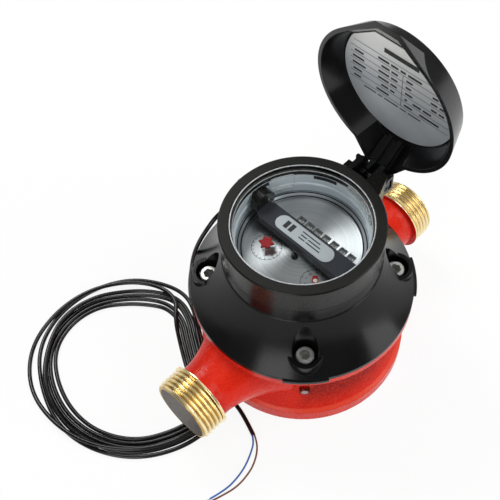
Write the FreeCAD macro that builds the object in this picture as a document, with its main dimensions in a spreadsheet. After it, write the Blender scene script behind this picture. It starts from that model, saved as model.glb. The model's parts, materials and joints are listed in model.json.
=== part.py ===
import FreeCAD, Part
import math
import os
import Sketcher

# A ring piston flow meter for fuel oil, in millimetres.
# Origin: centre of the base. +X: direction of flow. +Z: up, along the register axis.

Vector = FreeCAD.Vector
Rotation = FreeCAD.Rotation
doc = FreeCAD.newDocument("FlowMeter")
sheet = doc.addObject("Spreadsheet::Sheet", "Dims")
nodes = []


class Size:
    """A number that carries the spreadsheet expression it comes from."""

    def __init__(self, value, text):
        self.value = value
        self.text = text

    def __add__(self, other):
        return Size(self.value + number(other), f"({self.text} + {text(other)})")

    def __sub__(self, other):
        return Size(self.value - number(other), f"({self.text} - {text(other)})")

    def __rsub__(self, other):
        return Size(number(other) - self.value, f"({text(other)} - {self.text})")

    def __mul__(self, other):
        return Size(self.value * number(other), f"({self.text} * {text(other)})")

    def __neg__(self):
        return Size(-self.value, f"(-1 * {self.text})")

    __radd__ = __add__
    __rmul__ = __mul__


def number(item):
    return item.value if isinstance(item, Size) else item


def text(item):
    return item.text if isinstance(item, Size) else f"{item:.6f}"


def dim(name, value, meaning):
    """One driving dimension: a named cell of the sheet, with its meaning beside it."""
    row = dim.row = getattr(dim, "row", 0) + 1
    sheet.set(f"A{row}", str(value))
    sheet.setAlias(f"A{row}", name)
    sheet.set(f"B{row}", meaning)
    return Size(value, "Dims." + name)


# Driving dimensions

base_radius = dim("base_radius", 51.9, "foot of the body")
foot_height = dim("foot_height", 8.0, "upright band of the foot")
waist_radius = dim("waist_radius", 40.0, "body under its flange")
flange_radius = dim("flange_radius", 53.7, "flange of the body and foot of the cone")
flange_top = dim("flange_top", 47.6, "joint of body and head cover")
flange_depth = dim("flange_depth", 4.0, "thickness of the body flange")
port_height = dim("port_height", 26.8, "pipe axis above the base")
half_length = dim("half_length", 82.5, "register axis to the end of a port")
thread_radius = dim("thread_radius", 16.62, "crest of the pipe thread")
thread_length = dim("thread_length", 13.0, "threaded end of a port")
mouth_radius = dim("mouth_radius", 14.0, "port mouth")
mouth_depth = dim("mouth_depth", 11.0, "depth of the port mouth")
bore_radius = dim("bore_radius", 10.5, "passage to the chamber")
cavity_radius = dim("cavity_radius", 35.0, "chamber space in the body")
cavity_floor = dim("cavity_floor", 7.0, "floor of the chamber space")

chamber_radius = dim("chamber_radius", 27.0, "bore of the measuring chamber")
chamber_wall = dim("chamber_wall", 4.5, "wall of the measuring chamber")
chamber_floor = dim("chamber_floor", 12.0, "floor of the measuring chamber")
chamber_top = dim("chamber_top", 38.0, "top of the measuring chamber")
post_radius = dim("post_radius", 14.0, "inner cylinder of the chamber")
throw = dim("throw", 3.2, "orbit radius of the ring piston")
running = dim("running", 0.1, "running clearance of the ring piston")
pin_radius = dim("pin_radius", 1.8, "pin of the ring piston")

cone_top = dim("cone_top", 73.6, "top of the cone")
neck_radius = dim("neck_radius", 37.0, "neck above the cone")
seam_height = dim("seam_height", 82.4, "seam of neck and hood")
hood_radius = dim("hood_radius", 37.4, "outside of the hood")
hood_top = dim("hood_top", 96.6, "top of the hood")
glass_radius = dim("glass_radius", 32.3, "sight glass")
screw_circle = dim("screw_circle", 44.3, "pitch radius of the cover screws")
screw_seat = dim("screw_seat", 51.25, "underside of the screw heads")
screw_tip = dim("screw_tip", 43.0, "lower end of the cover screws")

can_radius = dim("can_radius", 31.5, "outside of the register can")
can_floor = dim("can_floor", 50.7, "underside of the register can")
plate_height = dim("plate_height", 56.0, "underside of the gear plate")
dial_height = dim("dial_height", 77.0, "face of the dial")
dial_radius = dim("dial_radius", 29.8, "dial plate")
gear_module = dim("gear_module", 0.75, "module of the register train")
roller_x = dim("roller_x", 9.9, "roller axle from the register axis")
roller_z = dim("roller_z", 69.9, "roller axle height")
roller_radius = dim("roller_radius", 5.5, "number roller")
roller_pitch = dim("roller_pitch", 5.07, "spacing of the number rollers")
first_roller_y = dim("first_roller_y", -20.3, "centre of the first roller")
bar_top = dim("bar_top", 85.0, "top of the pulser bar")
bar_width = dim("bar_width", 10.6, "width of the pulser bar")

hinge_x = dim("hinge_x", 43.5, "lid hinge from the register axis")
hinge_z = dim("hinge_z", 88.5, "lid hinge height")
lid_open = dim("lid_open", 87.0, "opening angle of the lid in degrees")
lid_gap = dim("lid_gap", 0.3, "closed lid above the hood")
lid_depth = dim("lid_depth", 10.85, "rim to inner floor of the lid")
lid_wall = dim("lid_wall", 1.8, "top wall of the lid")

cable_radius = dim("cable_radius", 1.1, "pulse cable")
core_radius = dim("core_radius", 0.45, "core of the pulse cable")
coil_width = dim("coil_width", 10.0, "band of the coil")
coil_height = dim("coil_height", 4.5, "height of the coil")
doc.recompute()

# Shared constructions


def bind(item, prop, value):
    item.setExpression(prop, text(value))


def place(item, at, axis="Z", turn=0.0):
    """Put an object at a point, with its own Z along an axis of the frame."""
    tilts = {"Z": Rotation(), "X": Rotation(Vector(0, 1, 0), 90), "Y": Rotation(Vector(1, 0, 0), -90)}
    item.Placement = FreeCAD.Placement(Vector(), tilts[axis] * Rotation(Vector(0, 0, 1), turn))
    for letter, value in zip("xyz", at):
        bind(item, f"Placement.Base.{letter}", value)
    return item


def cylinder(radius, height, at, axis="Z"):
    item = doc.addObject("Part::Cylinder", "Cylinder")
    bind(item, "Radius", radius)
    bind(item, "Height", height)
    return place(item, at, axis)


def cone(low_radius, high_radius, height, at):
    item = doc.addObject("Part::Cone", "Cone")
    bind(item, "Radius1", low_radius)
    bind(item, "Radius2", high_radius)
    bind(item, "Height", height)
    return place(item, at)


def box(size, at):
    item = doc.addObject("Part::Box", "Box")
    for prop, value in zip(("Length", "Width", "Height"), size):
        bind(item, prop, value)
    return place(item, at)


def fuse(*items):
    item = doc.addObject("Part::MultiFuse", "Fuse")
    item.Shapes = list(items)
    return item


def cut(base, *tools):
    item = doc.addObject("Part::Cut", "Cut")
    item.Base = base
    item.Tool = tools[0] if len(tools) == 1 else fuse(*tools)
    return item


def common(base, tool):
    item = doc.addObject("Part::Common", "Common")
    item.Base = base
    item.Tool = tool
    return item


def draw(sketch, points, arcs=None):
    """Closed outline with every corner tied to the sheet. arcs: side -> (radius, point on it)."""
    arcs = arcs or {}
    corners = [Vector(number(a), number(b), 0) for a, b in points]
    count = len(corners)
    ends = {}
    for side in range(count):
        start = corners[side]
        stop = corners[(side + 1) % count]
        ends[side] = (1, 2)
        if side in arcs:
            middle = Vector(*arcs[side][1], 0)
            curve = Part.Arc(start, middle, stop).toShape().Curve
            spokes = [end - curve.Center for end in (start, stop)]
            angles = [math.atan2(spoke.y, spoke.x) for spoke in spokes]
            if (middle - start).cross(stop - middle).z < 0:
                angles.reverse()
                ends[side] = (2, 1)
            circle = Part.Circle(curve.Center, Vector(0, 0, 1), curve.Radius)
            sketch.addGeometry(Part.ArcOfCircle(circle, *angles))
        else:
            sketch.addGeometry(Part.LineSegment(start, stop))
    for side in range(count):
        after = (side + 1) % count
        sketch.addConstraint(Sketcher.Constraint("Coincident", side, ends[side][1], after, ends[after][0]))
    for side, pair in enumerate(points):
        for kind, value in zip(("DistanceX", "DistanceY"), pair):
            index = sketch.addConstraint(Sketcher.Constraint(kind, side, ends[side][0], number(value)))
            sketch.setExpression(f"Constraints[{index}]", text(value))
    for side, (radius, _) in arcs.items():
        index = sketch.addConstraint(Sketcher.Constraint("Radius", side, number(radius)))
        sketch.setExpression(f"Constraints[{index}]", text(radius))
    return sketch


def body_sketch(body, role, points, arcs=None):
    plane = next(item for item in body.Origin.OriginFeatures if item.Role == role)
    sketch = body.newObject("Sketcher::SketchObject", "Sketch")
    sketch.AttachmentSupport = (plane, [""])
    sketch.MapMode = "FlatFace"
    return draw(sketch, points, arcs)


def revolve(points, at=(0, 0, 0), axis="Z", turn=0.0, arcs=None):
    """Body turned from a half section of (radius, height) points."""
    body = doc.addObject("PartDesign::Body", "Turned")
    sketch = body_sketch(body, "XZ_Plane", points, arcs)
    feature = body.newObject("PartDesign::Revolution", "Revolution")
    feature.Profile = sketch
    feature.ReferenceAxis = (sketch, ["V_Axis"])
    feature.Angle = 360
    return place(body, at, axis, turn)


def ring(inner, outer, low, high, at=(0, 0, 0), axis="Z"):
    return revolve([(inner, low), (outer, low), (outer, high), (inner, high)], at, axis)


def pad(points, length, at=(0, 0, 0), axis="Z", turn=0.0, arcs=None):
    """Body padded along its own Z from an outline."""
    body = doc.addObject("PartDesign::Body", "Padded")
    sketch = body_sketch(body, "XY_Plane", points, arcs)
    feature = body.newObject("PartDesign::Pad", "Pad")
    feature.Profile = sketch
    bind(feature, "Length", length)
    return place(body, at, axis, turn)


def upright(points, width, middle):
    """Body padded both ways along Y from an outline of (x, z) points."""
    body = doc.addObject("PartDesign::Body", "Upright")
    sketch = body_sketch(body, "XZ_Plane", points)
    feature = body.newObject("PartDesign::Pad", "Pad")
    feature.Profile = sketch
    bind(feature, "Length", width)
    feature.Midplane = True
    return place(body, (0, middle, 0))


def loft(low_points, high_points, low, high):
    """Straight sided solid between two level outlines."""
    sections = []
    for points, level in ((low_points, low), (high_points, high)):
        sketch = doc.addObject("Sketcher::SketchObject", "Section")
        draw(sketch, points)
        sections.append(place(sketch, (0, 0, level)))
    item = doc.addObject("Part::Loft", "Loft")
    item.Sections = sections
    item.Solid = True
    item.Ruled = True
    return item


def gear(teeth, module, thickness, at, axis="Z", turn=0.0):
    """Spur gear with a gap centred on the direction turn."""
    outer = module * (teeth / 2 + 0.7)
    root = module * (teeth / 2 - 1.05)
    root_tooth = 0.85 * module
    tip_tooth = 0.32 * module
    body = doc.addObject("PartDesign::Body", "Gear")
    blank = body_sketch(body, "XZ_Plane", [(0, 0), (outer, 0), (outer, thickness), (0, thickness)])
    turned = body.newObject("PartDesign::Revolution", "Blank")
    turned.Profile = blank
    turned.ReferenceAxis = (blank, ["V_Axis"])
    turned.Angle = 360
    narrow = math.pi * root / teeth - root_tooth
    wide = math.pi * outer / teeth - tip_tooth
    rim = outer + 0.02
    gap = body_sketch(body, "XY_Plane", [(root, -narrow), (rim, -wide), (rim, wide), (root, narrow)])
    pocket = body.newObject("PartDesign::Pocket", "Gap")
    pocket.Profile = gap
    pocket.Type = "ThroughAll"
    pocket.Midplane = True
    doc.recompute()
    pattern = body.newObject("PartDesign::PolarPattern", "Teeth")
    pattern.Originals = [pocket]
    pattern.Axis = (gap, ["N_Axis"])
    pattern.Angle = 360
    pattern.Occurrences = teeth
    body.Tip = pattern
    return place(body, at, axis, turn)


def mesh_turn(turn, teeth, direction, mate_teeth):
    """Turn of a gear that meshes at rest with one whose turn is known, in degrees."""
    pitch = 360 / teeth
    mate_pitch = 360 / mate_teeth
    phase = ((direction - turn) / pitch) % 1.0
    return direction + 180 - (0.5 - phase) * mate_pitch


def around(radius, degrees):
    """Point of a circle about the register axis."""
    angle = math.radians(degrees)
    return radius * math.cos(angle), radius * math.sin(angle)


def node(label, item):
    item.Label = label
    nodes.append(item)
    return item


# Meter body: turned casting, two flared necks, the threaded ends and a plug in the waist

flange_low = flange_top - flange_depth


def neck(side):
    """One port, as a solid along X: flare, rim behind the thread and threaded end."""
    shoulder = half_length - thread_length
    root = 28.5
    throat = 14.5
    flare_end = shoulder + 1.0
    flare = [(0, 33.0), (root, 33.0), (root, 37.0), (throat, 64.8), (throat, flare_end), (0, flare_end)]
    flared = revolve(flare, (0, 0, port_height), "X", arcs={2: (45.6, (19.06, 49.67))})
    below = box((half_length, 68.0, flange_low - 4.0), (0, -34.0, 2.0))
    beside = box((30.0, 48.0, 6.0), (42.0, -24.0, flange_low - 2.5))
    chamfer = 1.4
    rim = thread_radius + 0.3
    barrel = [(0, shoulder), (rim, shoulder), (rim, shoulder + 0.8), (thread_radius, shoulder + 1.1),
              (thread_radius, half_length - chamfer), (thread_radius - chamfer, half_length),
              (0, half_length)]
    port = fuse(common(flared, fuse(below, beside)), revolve(barrel, (0, 0, port_height), "X"))
    if side < 0:
        turned = doc.addObject("Part::Mirroring", "Mirrored")
        turned.Source = port
        turned.Normal = Vector(1, 0, 0)
        return turned
    return port


def port_bore(side):
    reach = half_length if side > 0 else -half_length
    start = half_length - mouth_depth if side > 0 else -half_length
    mouth = cylinder(mouth_radius, mouth_depth, (start, 0, port_height), "X")
    inner = cylinder(bore_radius, half_length - 33.0, (33.0 if side > 0 else reach, 0, port_height), "X")
    return fuse(mouth, inner)


def screw_places():
    return [around(number(screw_circle), 45 + 90 * k) for k in range(4)]


groove_floor = flange_top - 1.9
section = [(0, 1.5), (44.0, 1.5), (45.0, 0), (base_radius - 0.7, 0), (base_radius, 0.7),
           (base_radius, foot_height), (base_radius - 1.4, foot_height + 1.5),
           (waist_radius, flange_low - 1.6), (waist_radius + 1.6, flange_low),
           (flange_radius - 0.5, flange_low), (flange_radius, flange_low + 0.5), (flange_radius, flange_top),
           (38.7, flange_top), (38.7, groove_floor), (36.3, groove_floor), (36.3, flange_top),
           (cavity_radius, flange_top), (cavity_radius, cavity_floor), (0, cavity_floor)]
casting = revolve(section, arcs={6: (58.0, (42.8, 27.0))})
hollow = cylinder(cavity_radius, 60.0, (0, 0, cavity_floor))
hole_length = flange_top - screw_tip + 1.0
screw_holes = [cylinder(2.5, hole_length, (x, y, flange_top - hole_length)) for x, y in screw_places()]
plug_z = 20.2
plug = revolve([(0, 40.0), (2.6, 40.0), (2.6, 46.0), (2.2, 46.4), (0, 46.4)], (0, 0, plug_z), "X")
plug.Placement.Rotation = Rotation(Vector(0, 0, 1), 225) * plug.Placement.Rotation
solid_body = cut(fuse(casting, neck(1), neck(-1), plug), hollow, port_bore(1), port_bore(-1), *screw_holes)
node("meter_body", solid_body)

strainer_seat = half_length - mouth_depth
strainer = [(0, 0), (13.9, 0), (13.9, 3.0), (12.6, 3.0), (12.6, 1.0), (0, 1.0)]
node("inlet_strainer", revolve(strainer, (-strainer_seat - 3.0, 0, port_height), "X"))

# Measuring chamber: cup with an inner post, partition plate, lid and centre pin

chamber_outer = chamber_radius + chamber_wall
groove_radius = throw + pin_radius + running
post_top = 24.0
cup = revolve([(0, cavity_floor), (chamber_outer, cavity_floor), (chamber_outer, chamber_top),
               (chamber_radius, chamber_top), (chamber_radius, chamber_floor), (post_radius, chamber_floor),
               (post_radius, post_top), (groove_radius, post_top), (groove_radius, 16.0), (0, 16.0)])
keys = [box((3.0, 4.0, chamber_top - cavity_floor), (-1.5, y, cavity_floor)) for y in (30.9, -34.9)]
plate_slot = box((2.1, 4.0, chamber_top - chamber_floor), (-1.05, 25.1, chamber_floor))
windows = [box((8.0, 14.0, 18.0), (x, 20.0, 16.0)) for x in (-12.0, 4.0)]
node("measuring_chamber", cut(fuse(cup, *keys), plate_slot, *windows))
node("partition_plate", box((2.0, 14.9, chamber_top - chamber_floor), (-1.0, 14.05, chamber_floor)))
node("center_pin", cylinder(throw - pin_radius - running, 7.6, (0, 0, 16.0)))
lid_top = chamber_top + 3.0
lid_post = revolve([(5.5, 26.6), (post_radius, 26.6), (post_radius, chamber_top),
                    (chamber_outer, chamber_top), (chamber_outer, lid_top), (5.5, lid_top)])
node("chamber_lid", lid_post)

# Ring piston: a ring with a web, a pin both ways and a slot that straddles the partition plate

piston_outer = chamber_radius - throw - running
piston_inner = post_radius + throw + running
piston_low = chamber_floor + 0.1
piston_high = chamber_top - 0.1
piston_section = [(0, 17.0), (pin_radius, 17.0), (pin_radius, 24.2), (piston_inner, 24.2),
                  (piston_inner, piston_low), (piston_outer, piston_low), (piston_outer, piston_high),
                  (piston_inner, piston_high), (piston_inner, 26.2), (pin_radius, 26.2), (pin_radius, 43.0),
                  (0, 43.0)]
piston_slot = box((9.0, 20.0, 30.0), (throw - 4.5, 10.2, chamber_floor - 1.0))
node("ring_piston", cut(revolve(piston_section, (throw, 0, 0)), piston_slot))

# Piston driver and magnet on the wet side, under the pressure plate

driver = revolve([(0, 41.3), (8.0, 41.3), (8.0, 43.3), (3.0, 43.3), (3.0, 48.9), (1.25, 48.9), (1.25, 44.2),
                  (0, 44.2)])
node("piston_driver", cut(driver, cylinder(pin_radius + 0.05, 1.9, (throw, 0, 41.2))))
node("drive_magnet", ring(3.02, 9.5, 43.3, 48.9))
membrane = 49.4
plate_top = can_floor
node("pressure_plate", revolve([(0, 44.6), (1.2, 44.6), (1.2, membrane), (11.0, membrane), (11.0, flange_top),
                                (40.0, flange_top), (40.0, plate_top), (0, plate_top)]))
seal = doc.addObject("Part::Torus", "Seal")
bind(seal, "Radius1", 37.5)
bind(seal, "Radius2", 0.95)
node("body_o_ring", place(seal, (0, 0, flange_top - 0.95)))

# Head cover: shell with four screw bosses and their pockets

cone_foot = flange_top + 2.0
outside = [(0, flange_top), (flange_radius, flange_top), (flange_radius, cone_foot), (hood_radius, cone_top),
           (neck_radius, cone_top + 0.3), (neck_radius, seam_height - 0.4), (neck_radius - 0.4, seam_height),
           (0, seam_height)]
inside = [(0, plate_top), (46.2, plate_top), (46.2, cone_foot + 3.8), (33.6, cone_top - 1.6),
          (33.6, seam_height + 1), (0, seam_height + 1)]
hollow_cone = {2: (88.2, (44.56, 60.93))}
seat_ring = cylinder(40.2, plate_top - flange_top + 1.0, (0, 0, flange_top - 1.0))
shell = cut(revolve(outside, arcs=hollow_cone), revolve(inside))
boss_radius = 8.0
bosses = fuse(*[cylinder(boss_radius, 22.0, (x, y, plate_top)) for x, y in screw_places()])
outer_bosses = [cylinder(boss_radius, 10.4, (x, y, flange_top)) for x, y in screw_places()]
clear_middle = cylinder(33.6, 40.0, (0, 0, 45.0))
inner_bosses = common(bosses, revolve(outside, arcs=hollow_cone))
lug_ring = ring(52.5, flange_radius + 1.2, flange_top, cone_foot)
lug_cut = [(50.0, -10.5), (58.0, -10.5), (58.0, 10.5), (50.0, 10.5)]
lugs = [pad(lug_cut, 4.0, (0, 0, flange_top - 1.0), turn=45 + 90 * k) for k in range(4)]
skin = cut(fuse(shell, inner_bosses, common(lug_ring, fuse(*lugs)), *outer_bosses), seat_ring, clear_middle)
pockets = [cylinder(5.9, 26.0, (x, y, screw_seat)) for x, y in screw_places()]
shank_holes = [cylinder(2.75, 10.0, (x, y, flange_top - 1.0)) for x, y in screw_places()]
node("head_cover", cut(skin, *pockets, *shank_holes))


def socket_screw(x, y):
    """Socket head screw standing on its seat, with a hexagon recess."""
    form = [(0, screw_tip), (1.9, screw_tip), (2.45, screw_tip + 0.6), (2.45, screw_seat),
            (4.3, screw_seat), (4.3, screw_seat + 4.6), (3.9, screw_seat + 5.0), (0, screw_seat + 5.0)]
    recess = doc.addObject("Part::Prism", "Hexagon")
    recess.Polygon = 6
    bind(recess, "Circumradius", 2.7)
    bind(recess, "Height", 4.0)
    return cut(revolve(form, (x, y, 0)), place(recess, (x, y, screw_seat + 2.4)))


screws = doc.addObject("Part::Compound", "Screws")
screws.Links = [socket_screw(x, y) for x, y in screw_places()]
node("head_cover_screws", screws)

# Register hood: ring with a lip for the glass, hinge ears, stop shelf and seal eye

hood_low = seam_height + 0.2
lip_top = hood_top - 3.7
hood_section = [(33.8, hood_low), (hood_radius - 0.4, hood_low), (hood_radius, hood_low + 0.4),
                (hood_radius, hood_top - 0.6), (hood_radius - 0.6, hood_top), (glass_radius + 0.15, hood_top),
                (glass_radius + 0.15, lip_top), (30.9, lip_top), (30.9, lip_top - 2.0), (33.8, lip_top - 2.0)]


ear_low = hinge_z - 4.0
ear_top = hood_top - 0.4
ear_height = ear_top - ear_low
pin_start = -11.2
pin_end = 7.7

# Right ear: a wedge that narrows from the hood to the hinge
wedge = pad([(33.6, -15.1), (45.4, -10.6), (45.4, -4.9), (33.6, -4.9)], ear_height, (0, 0, ear_low))
right_ear = fuse(wedge, cylinder(3.6, 6.1, (hinge_x, -11.0, hinge_z), "Y"))

# Left ear: a tall block, a lower step beside it and a small rib at its outer end
block_end = 46.7
block_side = [(34.6, ear_low), (49.4, ear_low), (49.4, 92.4), (block_end, ear_top - 0.8),
              (block_end - 0.8, ear_top), (34.6, ear_top)]
end_side = [(44.6, ear_low), (block_end, ear_low), (block_end, ear_top - 0.8), (block_end - 0.8, ear_top),
            (44.6, ear_top)]
left_ear = fuse(upright(block_side, 2.6, 5.2), upright(end_side, 1.6, 7.1),
                box((8.1, 3.9, 8.3), (34.6, 6.4, ear_low)))
stop_shelf = box((12.3, 11.0, 1.8), (35.2, -5.5, hood_low + 0.5))
seal_loop = upright([(43.0, ear_low), (48.9, ear_low), (48.9, 93.8), (45.0, 93.8), (43.0, 92.0)], 1.2, -10.8)
loop_window = box((2.4, 4.0, 6.0), (45.3, -13.0, 86.0))
gland_x = 2.0
gland_z = 87.2
gland_boss_z = 85.7
hood_ring = revolve(hood_section, turn=180)
hood_form = fuse(hood_ring, left_ear, right_ear, stop_shelf, cut(seal_loop, loop_window))
pin_hole = cylinder(1.5, 23.0, (hinge_x, -15.0, hinge_z), "Y")
cable_hole = cylinder(3.25, 20.0, (gland_x, 25.0, gland_z), "Y")
node("register_hood", cut(hood_form, pin_hole, cable_hole))
node("hinge_pin", cylinder(1.48, pin_end - pin_start, (hinge_x, pin_start, hinge_z), "Y"))

node("glass_gasket", ring(31.0, glass_radius, lip_top, lip_top + 0.5))
glass_low = lip_top + 0.5
node("sight_glass", revolve([(0, glass_low), (glass_radius, glass_low), (glass_radius, hood_top - 0.6),
                             (glass_radius - 0.3, hood_top - 0.3), (0, hood_top - 0.3)]))

# Register can with a shaft bearing, standoffs and a rolled groove

can_inner = can_radius - 0.8
can_top = lip_top - 2.2
bearing_top = can_floor + 2.2
sheet_top = can_floor + 0.9
can = revolve([(0, can_floor), (can_radius, can_floor), (can_radius, 83.2), (can_radius - 0.5, 83.7),
               (can_radius - 0.5, 84.7), (can_radius, 85.2), (can_radius, can_top), (can_inner, can_top),
               (can_inner, 85.2), (can_inner - 0.5, 84.7), (can_inner - 0.5, 83.7), (can_inner, 83.2),
               (can_inner, sheet_top), (3.0, sheet_top), (3.0, bearing_top), (1.04, bearing_top),
               (1.04, sheet_top), (0, sheet_top)])
standoffs = [cylinder(2.0, plate_height - can_floor - 0.5, (*around(25.0, 20 + 120 * k), can_floor + 0.5))
             for k in range(3)]
node("register_can", cut(fuse(can, *standoffs), cylinder(3.25, 20.0, (gland_x, 25.0, gland_z), "Y")))

# Register train

plate_top_z = plate_height + 1.5
dial_low = dial_height - 1.2
drive_teeth = 30
star_teeth = 13
small_teeth = 12
idler_teeth = 30
idler_small = 12
pointer_teeth = 24
worm_teeth = 16
m = number(gear_module)
star_at = around(m * (drive_teeth + star_teeth) / 2, 134)
pointer_at = (-9.8, -17.2)
pointer_reach = math.hypot(*pointer_at)
pointer_way = math.degrees(math.atan2(pointer_at[1], pointer_at[0]))
idler_reach = m * (small_teeth + idler_teeth) / 2
idler_step = m * (idler_small + pointer_teeth) / 2
idler_rise = idler_reach ** 2 + pointer_reach ** 2 - idler_step ** 2
idler_swing = math.acos(idler_rise / (2 * idler_reach * pointer_reach))
idler_way = pointer_way - math.degrees(idler_swing)
idler_at = around(idler_reach, idler_way)
worm_x = 3.8
worm_step = m * (pointer_teeth + worm_teeth) / 2
worm_at = (worm_x, pointer_at[1] - math.sqrt(worm_step ** 2 - (worm_x - pointer_at[0]) ** 2))


def way(start, stop):
    return math.degrees(math.atan2(stop[1] - start[1], stop[0] - start[0]))


bearing = 1.04
journal = 1.0
plate_holes = [cylinder(bearing, 4.0, (x, y, plate_height - 1.0)) for x, y in (star_at, pointer_at, worm_at)]
shaft_hole = cylinder(1.54, 4.0, (0, 0, plate_height - 1.0))
idler_stud = cylinder(journal, 7.6, (*idler_at, plate_height + 0.5))
plate_disc = cylinder(29.5, 1.5, (0, 0, plate_height))
node("gear_plate", fuse(cut(plate_disc, shaft_hole, *plate_holes), idler_stud))
pillars = doc.addObject("Part::Compound", "Pillars")
pillars.Links = [cylinder(1.4, dial_low - plate_top_z, (*around(27.0, angle), plate_top_z))
                 for angle in (100, 168, 335)]
node("plate_pillars", pillars)

level_one = 58.2
level_two = 60.0
level_three = 62.2
stem_top = level_two + 2.1
node("follower_magnet", ring(1.52, 9.5, can_floor + 2.4, can_floor + 5.0))
stem = revolve([(0, can_floor + 0.95), (journal, can_floor + 0.95), (journal, can_floor + 2.25),
                (1.5, can_floor + 2.25), (1.5, stem_top), (0, stem_top)])
node("follower_shaft", fuse(stem, gear(drive_teeth, m, 1.5, (0, 0, level_one), turn=134),
                            gear(small_teeth, m, 1.8, (0, 0, level_two), turn=idler_way)))
idler_turn = mesh_turn(idler_way, small_teeth, idler_way, idler_teeth)
pointer_side = way(idler_at, pointer_at)
idler = fuse(gear(idler_teeth, m, 1.4, (*idler_at, level_two + 0.2), turn=idler_turn),
             gear(idler_small, m, 2.2, (*idler_at, level_three - 0.6), turn=pointer_side))
node("idler_gear", cut(idler, cylinder(bearing, 8.0, (*idler_at, level_two - 1.0))))
pointer_turn = mesh_turn(pointer_side, idler_small, pointer_side, pointer_teeth)
pointer_shaft = cylinder(journal, dial_height + 1.2 - plate_height, (*pointer_at, plate_height + 0.1))
pointer_wheel = gear(pointer_teeth, m, 1.4, (*pointer_at, level_three), turn=pointer_turn)
node("pointer_gear", fuse(pointer_shaft, pointer_wheel))
node("pulse_magnet", cylinder(1.4, 2.5, (pointer_at[0] + 6.0, pointer_at[1] + 0.5, level_three + 1.4)))
worm_way = way(pointer_at, worm_at)
worm_turn = mesh_turn(pointer_turn, pointer_teeth, worm_way, worm_teeth)
worm_radius = 1.2
worm_low = plate_height + 0.1
worm_high = dial_height - 0.4
worm_shaft = revolve([(0, worm_low), (journal, worm_low), (journal, 66.0), (worm_radius, 66.0),
                      (worm_radius, 74.0), (journal, 74.0), (journal, worm_high), (0, worm_high)],
                     (*worm_at, 0))
node("counter_worm", fuse(worm_shaft, gear(worm_teeth, m, 1.4, (*worm_at, level_three), turn=worm_turn)))
star_turn = mesh_turn(134, drive_teeth, 134, star_teeth)
star_low = dial_height + 3.0
star_shaft = cylinder(journal, star_low - plate_height - 0.1, (*star_at, plate_height + 0.1))
node("star_shaft", fuse(star_shaft, gear(star_teeth, m, 1.5, (*star_at, level_one), turn=star_turn)))


def star_outline(points, outer, inner):
    return [around(outer if k % 2 == 0 else inner, 180 * k / points) for k in range(2 * points)]


node("star_wheel", pad(star_outline(6, 3.7, 2.3), 1.2, (*star_at, star_low)))
pointer_form = [(-2.6, -1.1), (0, -1.5), (1.4, -1.0), (6.0, -0.2), (6.0, 0.2), (1.4, 1.0), (0, 1.5),
                (-2.6, 1.1)]
pointer_hand = pad(pointer_form, 0.6, (*pointer_at, dial_height + 0.5), turn=225)
node("litre_pointer", cut(pointer_hand, cylinder(journal + 0.01, 2.0, (*pointer_at, dial_height))))

# Counter: seven rollers, their pinions and the frame that carries both axles

pinion_module = 0.455
roller_teeth = 20
pinion_teeth = 8
pinion_step = pinion_module * (roller_teeth + pinion_teeth) / 2
pinion_tilt = 330.0
pinion_x = roller_x + pinion_step * math.cos(math.radians(pinion_tilt))
pinion_z = roller_z + pinion_step * math.sin(math.radians(pinion_tilt))
drum_width = 3.6
wheel_y = worm_at[1]


def drum(index):
    """Number roller: drum, side gear on its lower side and a bore for the axle."""
    middle = first_roller_y + roller_pitch * (index - 1)
    form = ring(bearing, roller_radius, -drum_width / 2, drum_width / 2, (roller_x, middle, roller_z), "Y")
    if index == 1:
        hub = ring(bearing, 2.0, 0, 1.0, (roller_x, wheel_y + 0.7, roller_z), "Y")
        wheel = gear(roller_teeth, 0.44, 1.5, (roller_x, wheel_y - 0.75, roller_z), "Y")
        side = fuse(wheel, hub)
    else:
        low = middle - drum_width / 2 - 1.2
        side = gear(roller_teeth, pinion_module, 1.3, (roller_x, low, roller_z), "Y", turn=-pinion_tilt)
    clear = cylinder(bearing, 9.0, (roller_x, middle - 5.0, roller_z), "Y")
    return cut(fuse(form, side), clear)


def transfer_pinion(index):
    """Small pinion that meshes with the side gear of the next roller up."""
    low = first_roller_y + roller_pitch * index - drum_width / 2 - 1.1
    spin = 180 - pinion_tilt + 180 / pinion_teeth
    wheel = gear(pinion_teeth, pinion_module, 0.9, (pinion_x, low, pinion_z), "Y", turn=spin)
    return cut(wheel, cylinder(0.74, 3.0, (pinion_x, low - 1.0, pinion_z), "Y"))


for index in range(1, 8):
    node(f"number_roller_{index}", drum(index))
for index in range(1, 7):
    node(f"transfer_pinion_{index}", transfer_pinion(index))

frame_low = -25.4
frame_high = 13.2
axle_reach = frame_high + 0.8 - frame_low
frame_top = roller_z + 1.6
low_bridge = level_three + 2.2
low_leg = box((5.5, 0.8, frame_top - plate_top_z), (11.0, frame_low, plate_top_z))
low_side = box((9.0, 0.8, frame_top - low_bridge), (7.5, frame_low, low_bridge))
high_side = box((9.0, 0.8, frame_top - plate_top_z), (7.5, frame_high, plate_top_z))
foot = box((2.5, axle_reach, 0.8), (12.5, frame_low, plate_top_z))
axle_hole = cylinder(1.0, 60.0, (roller_x, -30.0, roller_z), "Y")
pinion_hole = cylinder(0.7, 60.0, (pinion_x, -30.0, pinion_z), "Y")
node("counter_frame", cut(fuse(low_leg, low_side, high_side, foot), axle_hole, pinion_hole))
node("roller_axle", cylinder(0.99, axle_reach, (roller_x, frame_low, roller_z), "Y"))
node("pinion_axle", cylinder(0.69, axle_reach, (pinion_x, frame_low, pinion_z), "Y"))

# Dial plate with seven windows, and the ring that holds it down

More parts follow.
